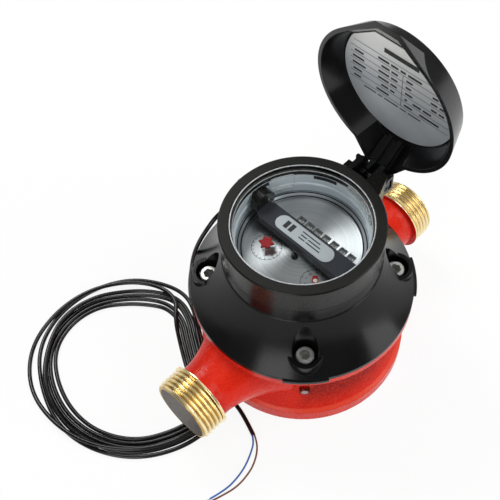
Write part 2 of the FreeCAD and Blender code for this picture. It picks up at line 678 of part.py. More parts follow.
window = (4.4, 3.2, 4.0)
window_x = roller_x - window[0] / 2
window_y = first_roller_y - window[1] / 2
cut_outs = [box(window, (window_x, window_y + roller_pitch * k, dial_low - 1.0)) for k in range(7)]
dial_holes = [cylinder(bearing, 4.0, (x, y, dial_low - 1.0)) for x, y in (star_at, pointer_at, worm_at)]
node("dial_plate", cut(cylinder(dial_radius, 1.2, (0, 0, dial_low)), *cut_outs, *dial_holes))
ring_outer = can_inner - 0.1
node("dial_ring", revolve([(27.4, dial_height), (ring_outer, dial_height), (ring_outer, dial_height + 2.4),
                           (29.2, dial_height + 2.4), (27.4, dial_height + 1.2)]))

# Pulser bar across the dial, its label, reed switch and the gland that turns the cable down

bar_low = bar_top - 4.6
half_bar = bar_width * 0.5
bar_start = -29.6
bar_end = 26.0
ring_seat = dial_height + 2.4
bar_height = bar_top - bar_low
round_end = cylinder(half_bar, bar_height, (0, bar_end - half_bar, bar_low))
straight = box((bar_width, bar_end - half_bar - bar_start, bar_height), (-half_bar, bar_start, bar_low))
foot_pad = box((bar_width, 1.2, bar_low - ring_seat + 0.5), (-half_bar, bar_start, ring_seat))
reed_cell = box((2.6, 16.0, 3.0), (-1.3, -10.0, bar_low - 0.5))
boss_seat = cylinder(6.0, 6.0, (gland_x, 24.6, gland_boss_z), "Y")
node("pulser_bar", cut(fuse(round_end, straight, foot_pad), reed_cell, boss_seat))
node("reed_switch", cylinder(1.3, 16.0, (0, -10.0, bar_low + 1.2), "Y"))
label_radius = 4.0
label_low_y = -14.0
label_high_y = 11.2
label_run = label_high_y - label_low_y
label_ends = [cylinder(label_radius, 0.25, (0, y, bar_top)) for y in (label_low_y, label_high_y)]
label_middle = box((2 * label_radius, label_run, 0.25), (-label_radius, label_low_y, bar_top))
node("pulser_label", fuse(label_middle, *label_ends))
boss = cylinder(6.0, 4.4, (gland_x, 24.6, gland_boss_z), "Y")
sleeve = revolve([(0, 26.0), (3.2, 26.0), (3.2, 37.8), (4.0, 37.8), (4.0, 38.8), (3.6, 39.2), (0, 39.2)],
                 (gland_x, 0, gland_z), "Y")
elbow_y = 39.9
elbow_low = 83.0
elbow = cylinder(2.4, 5.0, (gland_x, elbow_y, elbow_low))
gland_bore = cylinder(cable_radius + 0.02, 4.0, (gland_x, elbow_y, elbow_low))
node("cable_gland", cut(fuse(boss, sleeve, elbow), gland_bore))

# Lid, drawn closed and then swung open about the hinge

lid_low = hood_top + lid_gap
lid_floor = lid_low + lid_depth
lid_high = lid_floor + lid_wall
outer_facet = 140.0
inner_facet = 144.0


def nose_outline(middle, side, facet):
    """Outline limited in front by the three flats of the nose, at their distances from the axis."""
    far = 70.0
    way = math.radians(facet)
    corner = (side + middle * math.cos(way)) / math.sin(way)
    flank = (side - far * math.sin(way)) / math.cos(way)
    return [(-middle, -corner), (flank, -far), (far, -far), (far, far), (flank, far), (-middle, corner)]


def lid_parts(low, high, radii, middles, flats, tails, facet):
    """Round wall, wedge of the nose, limit of its three flats and tail that narrows to the hinge."""
    height = high - low
    round_wall = cone(radii[0], radii[1], height, (0, 0, low))
    reach = 70.0
    spread = reach * math.tan(math.radians(180.0 - facet))
    wedge = pad([(0, 0), (-reach, -spread), (-reach, spread)], height, (0, 0, low))
    rim_flats = nose_outline(middles[0], flats[0], facet)
    top_flats = nose_outline(middles[1], flats[1], facet)
    limit = loft(rim_flats, top_flats, low, high)
    ends = [[(2.0, -wide), (end, -narrow), (end, narrow), (2.0, wide)] for wide, end, narrow in tails]
    return round_wall, wedge, limit, loft(ends[0], ends[1], low, high)


outer_tail = ((36.9, 44.8, 7.75), (31.8, 37.0, 7.0))
inner_tail = ((35.0, 43.2, 6.0), (30.6, 36.0, 5.4))
round_wall, wedge, limit, tail = lid_parts(lid_low, lid_high, (37.2, 32.2), (43.5, 25.2), (37.25, 29.4),
                                           outer_tail, outer_facet)
lid_outside = fuse(round_wall, common(wedge, limit), tail)
round_wall, wedge, limit, tail = lid_parts(lid_low - 0.5, lid_floor, (35.45, 31.0), (40.9, 24.5),
                                           (35.8, 28.4), inner_tail, inner_facet)
lid_inside = fuse(common(fuse(round_wall, wedge), limit), tail)

# Two arms carry the lid on its pin, and go on as ribs along the inside of the tail
arm_width = 2.6
arms = []
ribs = []
arm_side = [(hinge_x - 2.2, hinge_z), (hinge_x + 2.4, hinge_z), (45.3, lid_low + 0.6), (41.3, lid_low + 1.6)]
rib_side = [(41.0, lid_low - 0.4), (45.0, lid_low - 0.4), (37.4, lid_floor + 0.2), (33.4, lid_floor + 0.2)]
for middle in (2.3, -3.3):
    arms.append(cylinder(3.2, arm_width, (hinge_x, middle - arm_width / 2, hinge_z), "Y"))
    arms.append(upright(arm_side, arm_width, middle))
    ribs.append(upright(rib_side, arm_width, middle))
rib_limit = common(fuse(*ribs), lid_outside)
lid_shell = fuse(cut(lid_outside, lid_inside), rib_limit, *arms)
lid_bore = cylinder(1.53, 12.0, (hinge_x, -6.0, hinge_z), "Y")
hinge_point = Vector(number(hinge_x), 0, number(hinge_z))
swing = FreeCAD.Placement(Vector(), Rotation(Vector(0, 1, 0), number(lid_open)), hinge_point)
lid = cut(lid_shell, lid_bore)
label_low = lid_floor - 0.3
label_round = cylinder(30.4, 0.3, (0, 0, label_low))
label_flats = nose_outline(24.2, 28.1, inner_facet)
label_limit = loft(label_flats, label_flats, label_low, lid_floor)
lid_label = common(label_round, label_limit)
for label, item in (("lid_cover", lid), ("lid_label", lid_label)):
    item.Placement = swing
    node(label, item)

# Pulse cable: lead from the gland, coil on the table, tail and its two cores


def rounded_path(points, closed=False):
    """Straight runs joined by arcs as large as the runs allow. Returns the edges and the radii."""
    points = [Vector(*p) for p in points]
    count = len(points)
    arcs = {}
    for k in range(count) if closed else range(1, count - 1):
        before = points[k - 1] - points[k]
        after = points[(k + 1) % count] - points[k]
        turn = math.pi - before.getAngle(after)
        reach = 0.45 * min(before.Length, after.Length)
        radius = reach / math.tan(turn / 2)
        start = points[k] + before.normalize() * reach
        stop = points[k] + after.normalize() * reach
        inward = (before + after).normalize()
        middle = points[k] + inward * (radius / math.cos(turn / 2) - radius)
        arcs[k] = (start, middle, stop, radius)
    edges = []
    here = arcs[count - 1][2] if closed else points[0]
    for k in range(count) if closed else range(1, count - 1):
        start, middle, stop, _ = arcs[k]
        edges.append(Part.LineSegment(here, start).toShape())
        edges.append(Part.Arc(start, middle, stop).toShape())
        here = stop
    if not closed:
        edges.append(Part.LineSegment(here, points[-1]).toShape())
    return edges, [arc[3] for arc in arcs.values()]


def tube(label, points, radius):
    """Round cord along a route of hand chosen points."""
    edges, radii = rounded_path(points)
    path = Part.Wire(edges)
    start = Vector(*points[0])
    along = Vector(*points[1]) - start
    section = Part.Wire(Part.makeCircle(number(radius), start, along))
    item = doc.addObject("Part::Feature", "Tube")
    item.Shape = path.makePipeShell([section], True, False)
    expected = math.pi * number(radius) ** 2 * path.Length
    print(label, "length", round(path.Length, 1), "radii", [round(r, 1) for r in radii],
          "volume ratio", round(item.Shape.Volume / expected, 4))
    return node(label, item)


cable_route = [(2.0, 39.9, 83.0), (2.0, 39.9, 79.2), (-1.0, 41.6, 74.6), (-6.6, 44.2, 71.6),
               (-12.6, 45.2, 69.0), (-17.4, 46.0, 64.4), (-21.4, 47.8, 57.4), (-24.8, 49.5, 48.4),
               (-28.0, 49.8, 38.0), (-30.8, 48.6, 27.0), (-33.2, 46.8, 16.0), (-35.0, 44.8, 7.6),
               (-36.8, 42.0, 3.2)]
coil_route = [(-31.8, 59.0), (-37.5, 46.5), (-45.6, 36.0), (-54.0, 20.0), (-60.5, 4.5), (-72.0, -2.6),
              (-89.0, 0.4), (-106.0, 12.0), (-117.6, 30.2), (-122.0, 51.0), (-117.2, 73.2), (-103.6, 89.2),
              (-85.0, 96.6), (-65.0, 95.6), (-47.5, 85.6), (-35.6, 73.0)]
tail_route = [(-53.0, 12.0, 2.2), (-54.2, 4.0, 1.7), (-54.6, -4.0, 1.2), (-56.4, -14.0, 1.1),
              (-60.3, -24.2, 1.1)]
blue_route = [(-60.83, -24.05, 1.1), (-62.7, -26.9, 0.8), (-67.0, -29.4, 0.5), (-73.9, -32.4, 0.5),
              (-81.1, -33.8, 0.5), (-89.0, -33.9, 0.5), (-97.1, -31.6, 0.5)]
brown_route = [(-59.83, -24.42, 1.1), (-61.6, -28.0, 0.8), (-65.2, -31.6, 0.5), (-70.0, -34.4, 0.5),
               (-74.9, -36.0, 0.5), (-82.4, -36.8, 0.5), (-89.4, -35.6, 0.5), (-97.0, -33.0, 0.5)]
tube("cable_lead", cable_route, cable_radius)
tube("cable_tail", tail_route, cable_radius)
tube("blue_core", blue_route, core_radius)
tube("brown_core", brown_route, core_radius)

coil_edges, _ = rounded_path([(x, y, 0) for x, y in coil_route], closed=True)
coil_line = Part.Wire(coil_edges)
half_band = number(coil_width) / 2
coil_face = Part.Face(coil_line.makeOffset2D(half_band)).cut(Part.Face(coil_line.makeOffset2D(-half_band)))
coil = doc.addObject("Part::Feature", "Coil")
coil.Shape = coil_face.extrude(Vector(0, 0, number(coil_height)))
node("cable_coil", coil)
print("coil line", round(coil_line.Length, 1))

# Build, check and write


def solids_valid(item):
    return not item.Shape.isNull() and item.Shape.isValid() and item.Shape.Solids


doc.recompute()
failed = [item.Label for item in doc.Objects if "Invalid" in item.State or "Error" in item.State]
failed += [item.Label for item in nodes if not solids_valid(item)]
if failed:
    raise SystemExit("failed: " + ", ".join(failed))
os.makedirs("parts", exist_ok=True)
for item in nodes:
    item.Shape.exportStep(f"parts/{item.Label}.step")
print(len(nodes), "nodes written")
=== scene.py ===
import json
import math

import bmesh
import bpy
from mathutils import Matrix, Vector


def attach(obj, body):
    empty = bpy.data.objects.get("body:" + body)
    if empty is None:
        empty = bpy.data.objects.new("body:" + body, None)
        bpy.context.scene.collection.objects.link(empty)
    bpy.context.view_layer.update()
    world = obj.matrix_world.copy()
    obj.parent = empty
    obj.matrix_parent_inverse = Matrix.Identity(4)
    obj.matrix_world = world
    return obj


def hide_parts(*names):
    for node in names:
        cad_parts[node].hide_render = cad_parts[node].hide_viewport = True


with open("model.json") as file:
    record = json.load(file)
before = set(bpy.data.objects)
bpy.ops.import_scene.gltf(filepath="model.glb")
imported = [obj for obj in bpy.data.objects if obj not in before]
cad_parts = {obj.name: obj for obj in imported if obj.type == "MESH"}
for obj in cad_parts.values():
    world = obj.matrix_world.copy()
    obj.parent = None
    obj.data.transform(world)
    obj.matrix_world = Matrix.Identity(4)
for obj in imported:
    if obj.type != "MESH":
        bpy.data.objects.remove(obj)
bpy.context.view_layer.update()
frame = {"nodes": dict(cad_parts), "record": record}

scene = bpy.context.scene
scene.view_settings.view_transform = "Standard"
nodes = frame["nodes"]

# Sizes in millimetres, as the solids have them.
PORT_Z = 26.8
BARREL_START = 69.5
THREAD_START = 70.4
BARREL_END = 82.5
RIM_RADIUS = 16.92
THREAD_CREST = 16.62
THREAD_ROOT = 15.25
THREAD_PITCH = 2.309
MOUTH_RADIUS = 14.0
HINGE = Vector((43.5, 0.0, 88.5))
LID_OPEN = math.radians(87.0)
LABEL_FACE = 107.45
PLATE_RADIUS = 29.0
DIAL_FACE = 77.0
DIAL_RING_RADIUS = 28.6
BAR_LABEL_FACE = 85.25
STAR_AT = (-11.201, 11.599)
POINTER_AT = (-9.8, -17.2)
ROLLER_COUNT = 7
ROLLER_X = 9.9
ROLLER_Z = 69.9
ROLLER_RADIUS = 5.5
FIRST_ROLLER_Y = -20.3
ROLLER_STEP = 5.07
SCREW_AT = 31.3
CABLE_RADIUS = 1.1
CORE_RADIUS = 0.45
PLUG_Z = 20.2
PLUG_RADIUS = 2.6

# Sizes of the details that are added here, in millimetres.
SLACK = 0.05
BARREL_SKIN = THREAD_ROOT - 0.3
BARE_BORE_START = 57.0
PLUG_START = 44.5
PRINT_LIFT = 0.03
LID_PRINT_GAP = 0.05
POST_AT = (-6.4, -1.4)

# Where a look changes on a surface, as pairs of millimetres from which and to which it does.
# The painted shade under the flange ends away from the axis, and begins above the foot and beside the necks.
SHADE_REACH = (49.5, 53.0)
SHADE_RISE = (9.5, 18.0)
SHADE_ASIDE = (30.5, 34.5)
# The painted highlight on the foot's edge comes and goes with the height.
FOOT_HIGHLIGHT_LOW = (7.8, 8.4)
FOOT_HIGHLIGHT_HIGH = (9.4, 10.2)
# The thread is bright from its root outward.
THREAD_BRIGHT = (THREAD_ROOT, 16.1)
HOOD_TOP = (96.3, 96.5)
SCREW_TOP = (55.9, 56.1)
PLUG_RING = (1.6, 1.9)
# The dial ring's black lines, by their distance from its middle.
RING_LINE_IN = (0.45, 0.6)
RING_LINE_OUT = (1.0, 1.15)
# The plate in the open lid is paler towards its top, a painted reflection.
PLATE_REFLECTION = (128.0, 165.0)

# Most values of a noise lie between these two.
NOISE_SPAN = (0.3, 0.7)
# Places of the colour sockets on a Mix node.
MIX_SHARE = 0
MIX_FIRST = 6
MIX_SECOND = 7
MIX_COLOUR = 2


def metres(point):
    return Vector(point) / 1000.0


def set_camera():
    """The photograph's viewpoint."""
    data = bpy.data.cameras.new("camera")
    data.lens = 63.75
    data.sensor_width = 36.0
    data.clip_start = 0.01
    right = Vector((0.7059, -0.7069, -0.0449))
    up = Vector((0.6074, 0.5713, 0.5521))
    back = right.cross(up).normalized()
    up = back.cross(right.normalized())
    place = Vector((-0.1648, -0.1524, 0.4132))
    camera = bpy.data.objects.new("camera", data)
    camera.matrix_world = Matrix((
        (right.x, up.x, back.x, place.x),
        (right.y, up.y, back.y, place.y),
        (right.z, up.z, back.z, place.z),
        (0.0, 0.0, 0.0, 1.0),
    ))
    scene.collection.objects.link(camera)
    scene.camera = camera


class Surface:
    """A Principled material whose patterns are read in the frame's own coordinates, in metres."""

    def __init__(self, name, colour, rough, metal=0.0, sockets=None):
        self.material = bpy.data.materials.new(name)
        self.material.use_nodes = True
        self.tree = self.material.node_tree
        self.shader = self.tree.nodes["Principled BSDF"]
        self.place = self.add("ShaderNodeTexCoord").outputs["Object"]
        self.normal = None
        self.shader.inputs["Base Color"].default_value = (*colour, 1.0)
        self.shader.inputs["Roughness"].default_value = rough
        self.shader.inputs["Metallic"].default_value = metal
        for key, value in (sockets or {}).items():
            self.shader.inputs[key].default_value = value

    def add(self, kind, inputs=None, **settings):
        """A node with these settings. Each input is a value or another node's socket."""
        made = self.tree.nodes.new(kind)
        for key, value in settings.items():
            setattr(made, key, value)
        for key, value in (inputs or {}).items():
            if isinstance(value, bpy.types.NodeSocket):
                self.tree.links.new(value, made.inputs[key])
            else:
                made.inputs[key].default_value = value
        return made

    def math(self, operation, first, second=0.0):
        return self.add("ShaderNodeMath", {0: first, 1: second}, operation=operation).outputs[0]

    def times(self, first, second):
        return self.math("MULTIPLY", first, second)

    def apart(self, first, second):
        """Root of the sum of two squares."""
        return self.math("SQRT", self.math("ADD", self.times(first, first), self.times(second, second)))

    def axes(self):
        """The x, y and z of the shaded point."""
        return self.add("ShaderNodeSeparateXYZ", {0: self.place}).outputs

    def noise(self, scale, detail=3.0, stretch=(1.0, 1.0, 1.0), distortion=0.0):
        spot = self.add("ShaderNodeMapping", {"Vector": self.place, "Scale": stretch}).outputs[0]
        return self.add("ShaderNodeTexNoise", {"Vector": spot, "Scale": scale, "Detail": detail,
                                               "Distortion": distortion}).outputs["Fac"]

    def spread(self, value, low, high, to_low, to_high):
        """Goes from to_low to to_high as value goes from low to high, and stays there beyond."""
        return self.add("ShaderNodeMapRange", {"Value": value, "From Min": low, "From Max": high,
                                               "To Min": to_low, "To Max": to_high}).outputs[0]

    def tone(self, noise, to_low=0.0, to_high=1.0):
        """A noise drawn out to this range."""
        return self.spread(noise, *NOISE_SPAN, to_low, to_high)

    def over(self, value, span, to_low=0.0, to_high=1.0):
        """As spread, for a value in metres and a span in millimetres."""
        return self.spread(value, span[0] / 1000.0, span[1] / 1000.0, to_low, to_high)

    def blend(self, share, first, second):
        """Colour that goes from first to second as share goes from 0 to 1."""
        ends = [end if isinstance(end, bpy.types.NodeSocket) else (*end, 1.0) for end in (first, second)]
        inputs = {MIX_SHARE: share, MIX_FIRST: ends[0], MIX_SECOND: ends[1]}
        return self.add("ShaderNodeMix", inputs, data_type="RGBA").outputs[MIX_COLOUR]

    def rounded(self, radius):
        """The normal of a surface whose edges are rounded to radius metres."""
        return self.add("ShaderNodeBevel", {"Radius": radius}, samples=6).outputs[0]

    def edges(self, radius):
        """1 on edges that stand proud or lie in a corner, within about radius metres, and 0 on open faces."""
        plain = self.add("ShaderNodeNewGeometry").outputs["Normal"]
        along = self.add("ShaderNodeVectorMath", {0: self.rounded(radius), 1: plain}, operation="DOT_PRODUCT")
        return self.spread(along.outputs["Value"], 0.75, 0.985, 1.0, 0.0)

    def soften(self, radius):
        """Edges that catch the light as if rounded to radius metres."""
        self.normal = self.rounded(radius)
        self.tree.links.new(self.normal, self.shader.inputs["Normal"])

    def relief(self, height, strength, depth):
        """A bump on top of what already bends the normal."""
        sockets = {"Height": height, "Strength": strength, "Distance": depth}
        if self.normal is not None:
            sockets["Normal"] = self.normal
        self.normal = self.add("ShaderNodeBump", sockets).outputs[0]
        self.tree.links.new(self.normal, self.shader.inputs["Normal"])

    def feed(self, **sockets):
        names = {"colour": "Base Color", "rough": "Roughness"}
        for key, value in sockets.items():
            self.tree.links.new(value, self.shader.inputs[names[key]])

    def source(self, name):
        """What feeds a socket of the shader."""
        return self.shader.inputs[name].links[0].from_socket

    def show(self, share, first, second):
        """The surface goes from the first shader to the second as share goes from 0 to 1."""
        mixed = self.add("ShaderNodeMixShader", {0: share, 1: first, 2: second}).outputs[0]
        self.tree.links.new(mixed, self.tree.nodes["Material Output"].inputs["Surface"])


def red_paint():
    """Gloss red over a sand casting with grain. Painted light: pale edges, partly paint worn thin and partly
    painted highlight; painted glints on the grain's crests; a painted highlight on the foot's edge; painted
    shade under the flange.
    """
    made = Surface("red_paint", (0.55, 0.014, 0.004), 0.3,
                   sockets={"Specular IOR Level": 0.12, "Coat Weight": 0.07, "Coat Roughness": 0.06})
    edge = 0.0007
    made.soften(edge)
    x, y, z = made.axes()
    colour = made.blend(made.tone(made.noise(55.0)), (0.60, 0.012, 0.0035), (0.73, 0.021, 0.0062))
    # Painted shade: the waist is darker under the flange, where the flange shades it.
    under_flange_shade = made.times(made.over(made.apart(x, y), SHADE_REACH, 1.0, 0.0), made.over(z, SHADE_RISE, 0.0, 0.9))
    under_flange_shade = made.times(under_flange_shade, made.over(made.math("ABSOLUTE", y), SHADE_ASIDE))
    colour = made.blend(under_flange_shade, colour, (0.22, 0.0035, 0.0015))
    # Pale edges: partly paint worn thin, partly a painted highlight.
    colour = made.blend(made.times(made.edges(edge), 0.6), colour, (0.80, 0.10, 0.045))
    # Painted glints: lighter specks on the crests of the grain.
    painted_glints = made.spread(made.noise(1350.0, 2.0), 0.50, 0.70, 0.0, 0.5)
    colour = made.blend(painted_glints, colour, (0.82, 0.058, 0.026))
    # Painted highlight: a pale band along the foot's edge.
    foot_highlight = made.times(made.over(z, FOOT_HIGHLIGHT_LOW, 0.0, 0.4), made.over(z, FOOT_HIGHLIGHT_HIGH, 1.0, 0.0))
    colour = made.blend(foot_highlight, colour, (0.86, 0.13, 0.07))
    grain = made.noise(480.0, 5.0, distortion=0.4)
    skin = made.noise(1700.0, 2.0)
    made.feed(colour=colour, rough=made.tone(grain, 0.22, 0.38))
    made.relief(grain, 0.6, 0.0005)
    made.relief(skin, 0.25, 0.00012)
    return made.material


def bare_brass():
    """Turned brass: fine lathe lines round the port, dark in the thread's roots and patchy with handling."""
    made = Surface("bare_brass", (0.95, 0.76, 0.36), 0.26, 0.9)
    _, y, z = made.axes()
    radius = made.apart(y, made.math("SUBTRACT", z, PORT_Z / 1000.0))
    patches = made.spread(made.noise(160.0, 4.0), 0.32, 0.68, 0.0, 1.0)
    metal = made.blend(patches, (0.94, 0.76, 0.38), (1.0, 0.90, 0.60))
    lines = made.noise(260.0, stretch=(26.0, 1.0, 1.0))
    made.feed(colour=made.blend(made.over(radius, THREAD_BRIGHT), (0.50, 0.31, 0.08), metal),
              rough=made.tone(lines, 0.20, 0.34))
    made.relief(lines, 0.06, 0.0002)
    return made.material


def bore_metal():
    """Inside of the ports: dull grey, tinned casting."""
    made = Surface("bore_metal", (0.30, 0.29, 0.29), 0.5, 0.3)
    grain = made.noise(900.0, 4.0)
    made.feed(colour=made.blend(grain, (0.24, 0.23, 0.23), (0.44, 0.43, 0.43)),
              rough=made.tone(grain, 0.42, 0.62))
    made.relief(grain, 0.3, 0.0003)
    return made.material


def moulded(name, dark, light, rough, grain_scale, grain_depth, edge_light=0.35, soft=0.0005, shine=0.5):
    """Moulded plastic or stove paint: a fine skin, slow changes of tone and gloss, and edges rubbed pale."""
    made = Surface(name, dark, rough, sockets={"Specular IOR Level": shine})
    made.soften(soft)
    tone = made.tone(made.noise(38.0))
    rub = made.times(made.edges(0.0004), edge_light)
    worn = tuple(min(1.0, 3.2 * part + 0.01) for part in light)
    skin = made.noise(grain_scale)
    slow = made.spread(tone, 0.0, 1.0, rough - 0.03, rough + 0.04)
    gloss = made.math("ADD", made.spread(skin, 0.25, 0.75, -0.05, 0.05), slow)
    made.feed(colour=made.blend(rub, made.blend(tone, dark, light), worn), rough=gloss)
    made.relief(skin, 0.12, grain_depth)
    return made


def hood_plastic():
    """The hood is the same plastic throughout, with a duller, textured ring on top."""
    made = moulded("hood_plastic", (0.0035, 0.0034, 0.0028), (0.0055, 0.0052, 0.0042), 0.26, 1500.0, 0.00008,
                   edge_light=0.13, shine=0.25)
    duller = made.times(made.over(made.axes()[2], HOOD_TOP), 0.26)
    made.feed(rough=made.math("ADD", made.source("Roughness"), duller))
    made.relief(made.noise(2600.0, 2.0), 0.2, 0.0001)
    return made.material


def screw_steel():
    """Bright socket screws with knurled rims and smeared tops."""
    made = Surface("screw_steel", (0.55, 0.55, 0.53), 0.3, 0.9)
    ridges = 44.0
    x, y, z = made.axes()
    across = [made.math("SUBTRACT", made.math("ABSOLUTE", axis), SCREW_AT / 1000.0) for axis in (x, y)]
    turn = made.math("ARCTAN2", across[1], across[0])
    knurl = made.math("SINE", made.times(turn, ridges))
    rim = made.over(z, SCREW_TOP, 1.0, 0.0)
    smear = made.noise(420.0, 4.0)
    made.feed(colour=made.blend(made.tone(smear), (0.56, 0.56, 0.54), (0.76, 0.76, 0.73)),
              rough=made.tone(smear, 0.32, 0.48))
    made.relief(made.times(knurl, rim), 0.6, 0.0003)
    made.relief(smear, 0.12, 0.0001)
    return made.material


def plug_steel():
    """End of the plug in the waist: dull steel with a dark ring round it."""
    made = Surface("plug_steel", (0.40, 0.39, 0.38), 0.4, 1.0)
    x, y, z = made.axes()
    aside = made.times(made.math("SUBTRACT", x, y), math.sqrt(0.5))
    above = made.math("SUBTRACT", z, PLUG_Z / 1000.0)
    ring = made.over(made.apart(aside, above), PLUG_RING)
    smear = made.noise(700.0)
    steel = made.blend(smear, (0.30, 0.29, 0.28), (0.55, 0.54, 0.52))
    made.feed(colour=made.blend(ring, steel, (0.09, 0.02, 0.015)), rough=made.tone(smear, 0.3, 0.5))
    made.relief(smear, 0.2, 0.0001)
    return made.material


def spun(name, dark, light, rough, line_scale, anisotropic=0.0, metal=1.0):
    """Metal brushed in circles round the register's axis."""
    made = Surface(name, light, rough, metal, {"Anisotropic": anisotropic, "Anisotropic Rotation": 0.25})
    x, y, z = made.axes()
    ring = made.add("ShaderNodeCombineXYZ", {0: made.apart(x, y), 1: z}).outputs[0]
    rings = made.add("ShaderNodeTexNoise", {"Vector": ring, "Scale": line_scale, "Detail": 3.0})
    lines = rings.outputs["Fac"]
    cloud = made.noise(70.0, 2.0)
    mix = made.math("ADD", made.times(lines, 0.7), made.times(cloud, 0.3))
    made.feed(colour=made.blend(made.spread(mix, 0.35, 0.65, 0.0, 1.0), dark, light),
              rough=made.tone(lines, rough - 0.05, rough + 0.07))
    if anisotropic:
        tangent = made.add("ShaderNodeTangent", direction_type="RADIAL", axis="Z").outputs[0]
        made.tree.links.new(tangent, made.shader.inputs["Tangent"])
    made.relief(lines, 0.12, 0.00008)
    return made


def lined_ring():
    """The ring round the dial: grey spun metal with a black line near each edge."""
    made = spun("lined_ring", (0.30, 0.32, 0.34), (0.48, 0.51, 0.54), 0.34, 1200.0)
    x, y, _ = made.axes()
    from_middle = made.math("SUBTRACT", made.apart(x, y), DIAL_RING_RADIUS / 1000.0)
    off_middle = made.math("ABSOLUTE", from_middle)
    line = made.times(made.over(off_middle, RING_LINE_IN), made.over(off_middle, RING_LINE_OUT, 1.0, 0.0))
    made.feed(colour=made.blend(line, made.source("Base Color"), (0.012, 0.012, 0.013)))
    return made.material


def clear_cover():
    """Clear cover: it lets lamps and sight straight through, and its outer faces mirror at a slant."""
    made = Surface("clear_cover", (0.9, 0.95, 0.95), 0.05)
    faint = made.noise(30.0, 2.0)
    gloss = made.add("ShaderNodeBsdfGlossy", {"Roughness": made.tone(faint, 0.02, 0.05)})
    through = made.add("ShaderNodeBsdfTransparent", {"Color": (0.965, 0.975, 0.975, 1.0)})
    slant = made.add("ShaderNodeFresnel", {"IOR": 1.47}).outputs[0]
    behind = made.add("ShaderNodeNewGeometry").outputs["Backfacing"]
    share = made.times(slant, made.math("SUBTRACT", 1.0, behind))
    made.show(share, through.outputs[0], gloss.outputs[0])
    return made.material


def clear_edge(name, colour, rough, streak_scale, tint, dark, light, bump, depth, least, most):
    """An edge of the clear cover: a streaky skin that lets some of what is behind it through."""
    made = Surface(name, colour, rough)
    streak = made.noise(streak_scale)
    plain = made.add("ShaderNodeBsdfTransparent", {"Color": (*tint, 1.0)})
    made.feed(colour=made.blend(streak, dark, light))
    made.relief(streak, bump, depth)
    made.show(made.tone(streak, least, most), plain.outputs[0], made.shader.outputs[0])
    return made.material


def frosted_clear():
    """Where the clear moulding is scuffed grey."""
    return clear_edge("frosted_clear", (0.5, 0.5, 0.49), 0.25, 700.0, (0.9, 0.92, 0.92),
                      (0.38, 0.38, 0.37), (0.66, 0.67, 0.67), 0.3, 0.0002, 0.35, 0.6)


def bright_edge():
    """A painted highlight: the pale line where the clear moulding's edge gathers light."""
    return clear_edge("bright_edge", (0.9, 0.92, 0.93), 0.2, 900.0, (0.95, 0.96, 0.96),
                      (0.80, 0.82, 0.83), (0.97, 0.98, 0.99), 0.2, 0.0001, 0.4, 0.65)


def foil(name, dark, light):
    """Printed metal foil: half matt, faintly grained one way, and paler high up in the open lid, a painted
    reflection.
    """
    made = Surface(name, light, 0.38, 0.35)
    grain = made.noise(500.0, stretch=(1.0, 6.0, 6.0))
    colour = made.blend(made.tone(made.noise(45.0, 2.0)), dark, light)
    # Painted reflection: paler towards the top of the open lid's plate.
    colour = made.blend(made.over(made.axes()[2], PLATE_REFLECTION), colour, (0.93, 0.92, 0.87))
    made.feed(colour=colour, rough=made.tone(grain, 0.30, 0.46))
    made.relief(grain, 0.1, 0.00005)
    return made.material


def sheath(name, dark, light, rough):
    """Drawn PVC: a glossy skin with faint drag marks."""
    made = Surface(name, dark, rough, sockets={"Specular IOR Level": 0.4})
    skin = made.noise(900.0)
    patch = made.noise(90.0, 2.0)
    made.feed(colour=made.blend(made.tone(patch), dark, light),
              rough=made.tone(skin, rough - 0.04, rough + 0.06))
    made.relief(skin, 0.1, 0.00004)
    return made.material


def plain_metal(name, dark, light, rough):
    """Rolled or turned metal, a little stained."""
    made = Surface(name, light, rough, 1.0)
    stain = made.noise(240.0, 4.0)
    made.feed(colour=made.blend(made.tone(stain), dark, light),
              rough=made.tone(stain, rough - 0.06, rough + 0.1))
    made.relief(stain, 0.12, 0.0001)
    return made.material


def ink():
    """Print: a dull dark film, a little uneven."""
    made = Surface("ink", (0.012, 0.012, 0.014), 0.55)
    blot = made.noise(1800.0, 2.0)
    made.feed(colour=made.blend(blot, (0.006, 0.006, 0.007), (0.022, 0.022, 0.025)),
              rough=made.tone(blot, 0.45, 0.65))
    made.relief(blot, 0.1, 0.00003)
    return made.material


def piece(name, mesh_or_curve, body, materials=()):
    made = bpy.data.objects.new(name, mesh_or_curve)
    scene.collection.objects.link(made)
    for material in materials:
        made.data.materials.append(material)
    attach(made, body)
    return made


def mesh_of(name, points, faces, smooth=True):
    """Mesh from points in millimetres, doubles merged and faces turned outward."""
    mesh = bpy.data.meshes.new(name)
    mesh.from_pydata([metres(point) for point in points], [], faces)
    work = bmesh.new()
    work.from_mesh(mesh)
    bmesh.ops.remove_doubles(work, verts=work.verts, dist=1e-7)
    bmesh.ops.dissolve_degenerate(work, edges=work.edges, dist=1e-7)
    bmesh.ops.recalc_face_normals(work, faces=work.faces)
    work.to_mesh(mesh)
    work.free()
    for face in mesh.polygons:
        face.use_smooth = smooth
    return mesh


def grid(rows, closed=False):
    """Points and faces of a net of equal rows of points."""
    count = len(rows[0])
    points = [point for row in rows for point in row]
    faces = []
    for j in range(len(rows) - 1 + closed):
        low = j * count
        high = ((j + 1) % len(rows)) * count
        for i in range(count - 1):
            faces.append((low + i, low + i + 1, high + i + 1, high + i))
    return points, faces


def turned(profile, centre=(0.0, 0.0), steps=64, first=0.0, last=360.0, closed=False):
    """Points and faces of a profile of (radius, z) swept round a vertical axis."""
    rows = []
    for radius, z in profile:
        row = []
        for k in range(steps + 1):
            angle = math.radians(first + (last - first) * k / steps)
            row.append((centre[0] + radius * math.cos(angle), centre[1] + radius * math.sin(angle), z))
        rows.append(row)
    return grid(rows, closed)


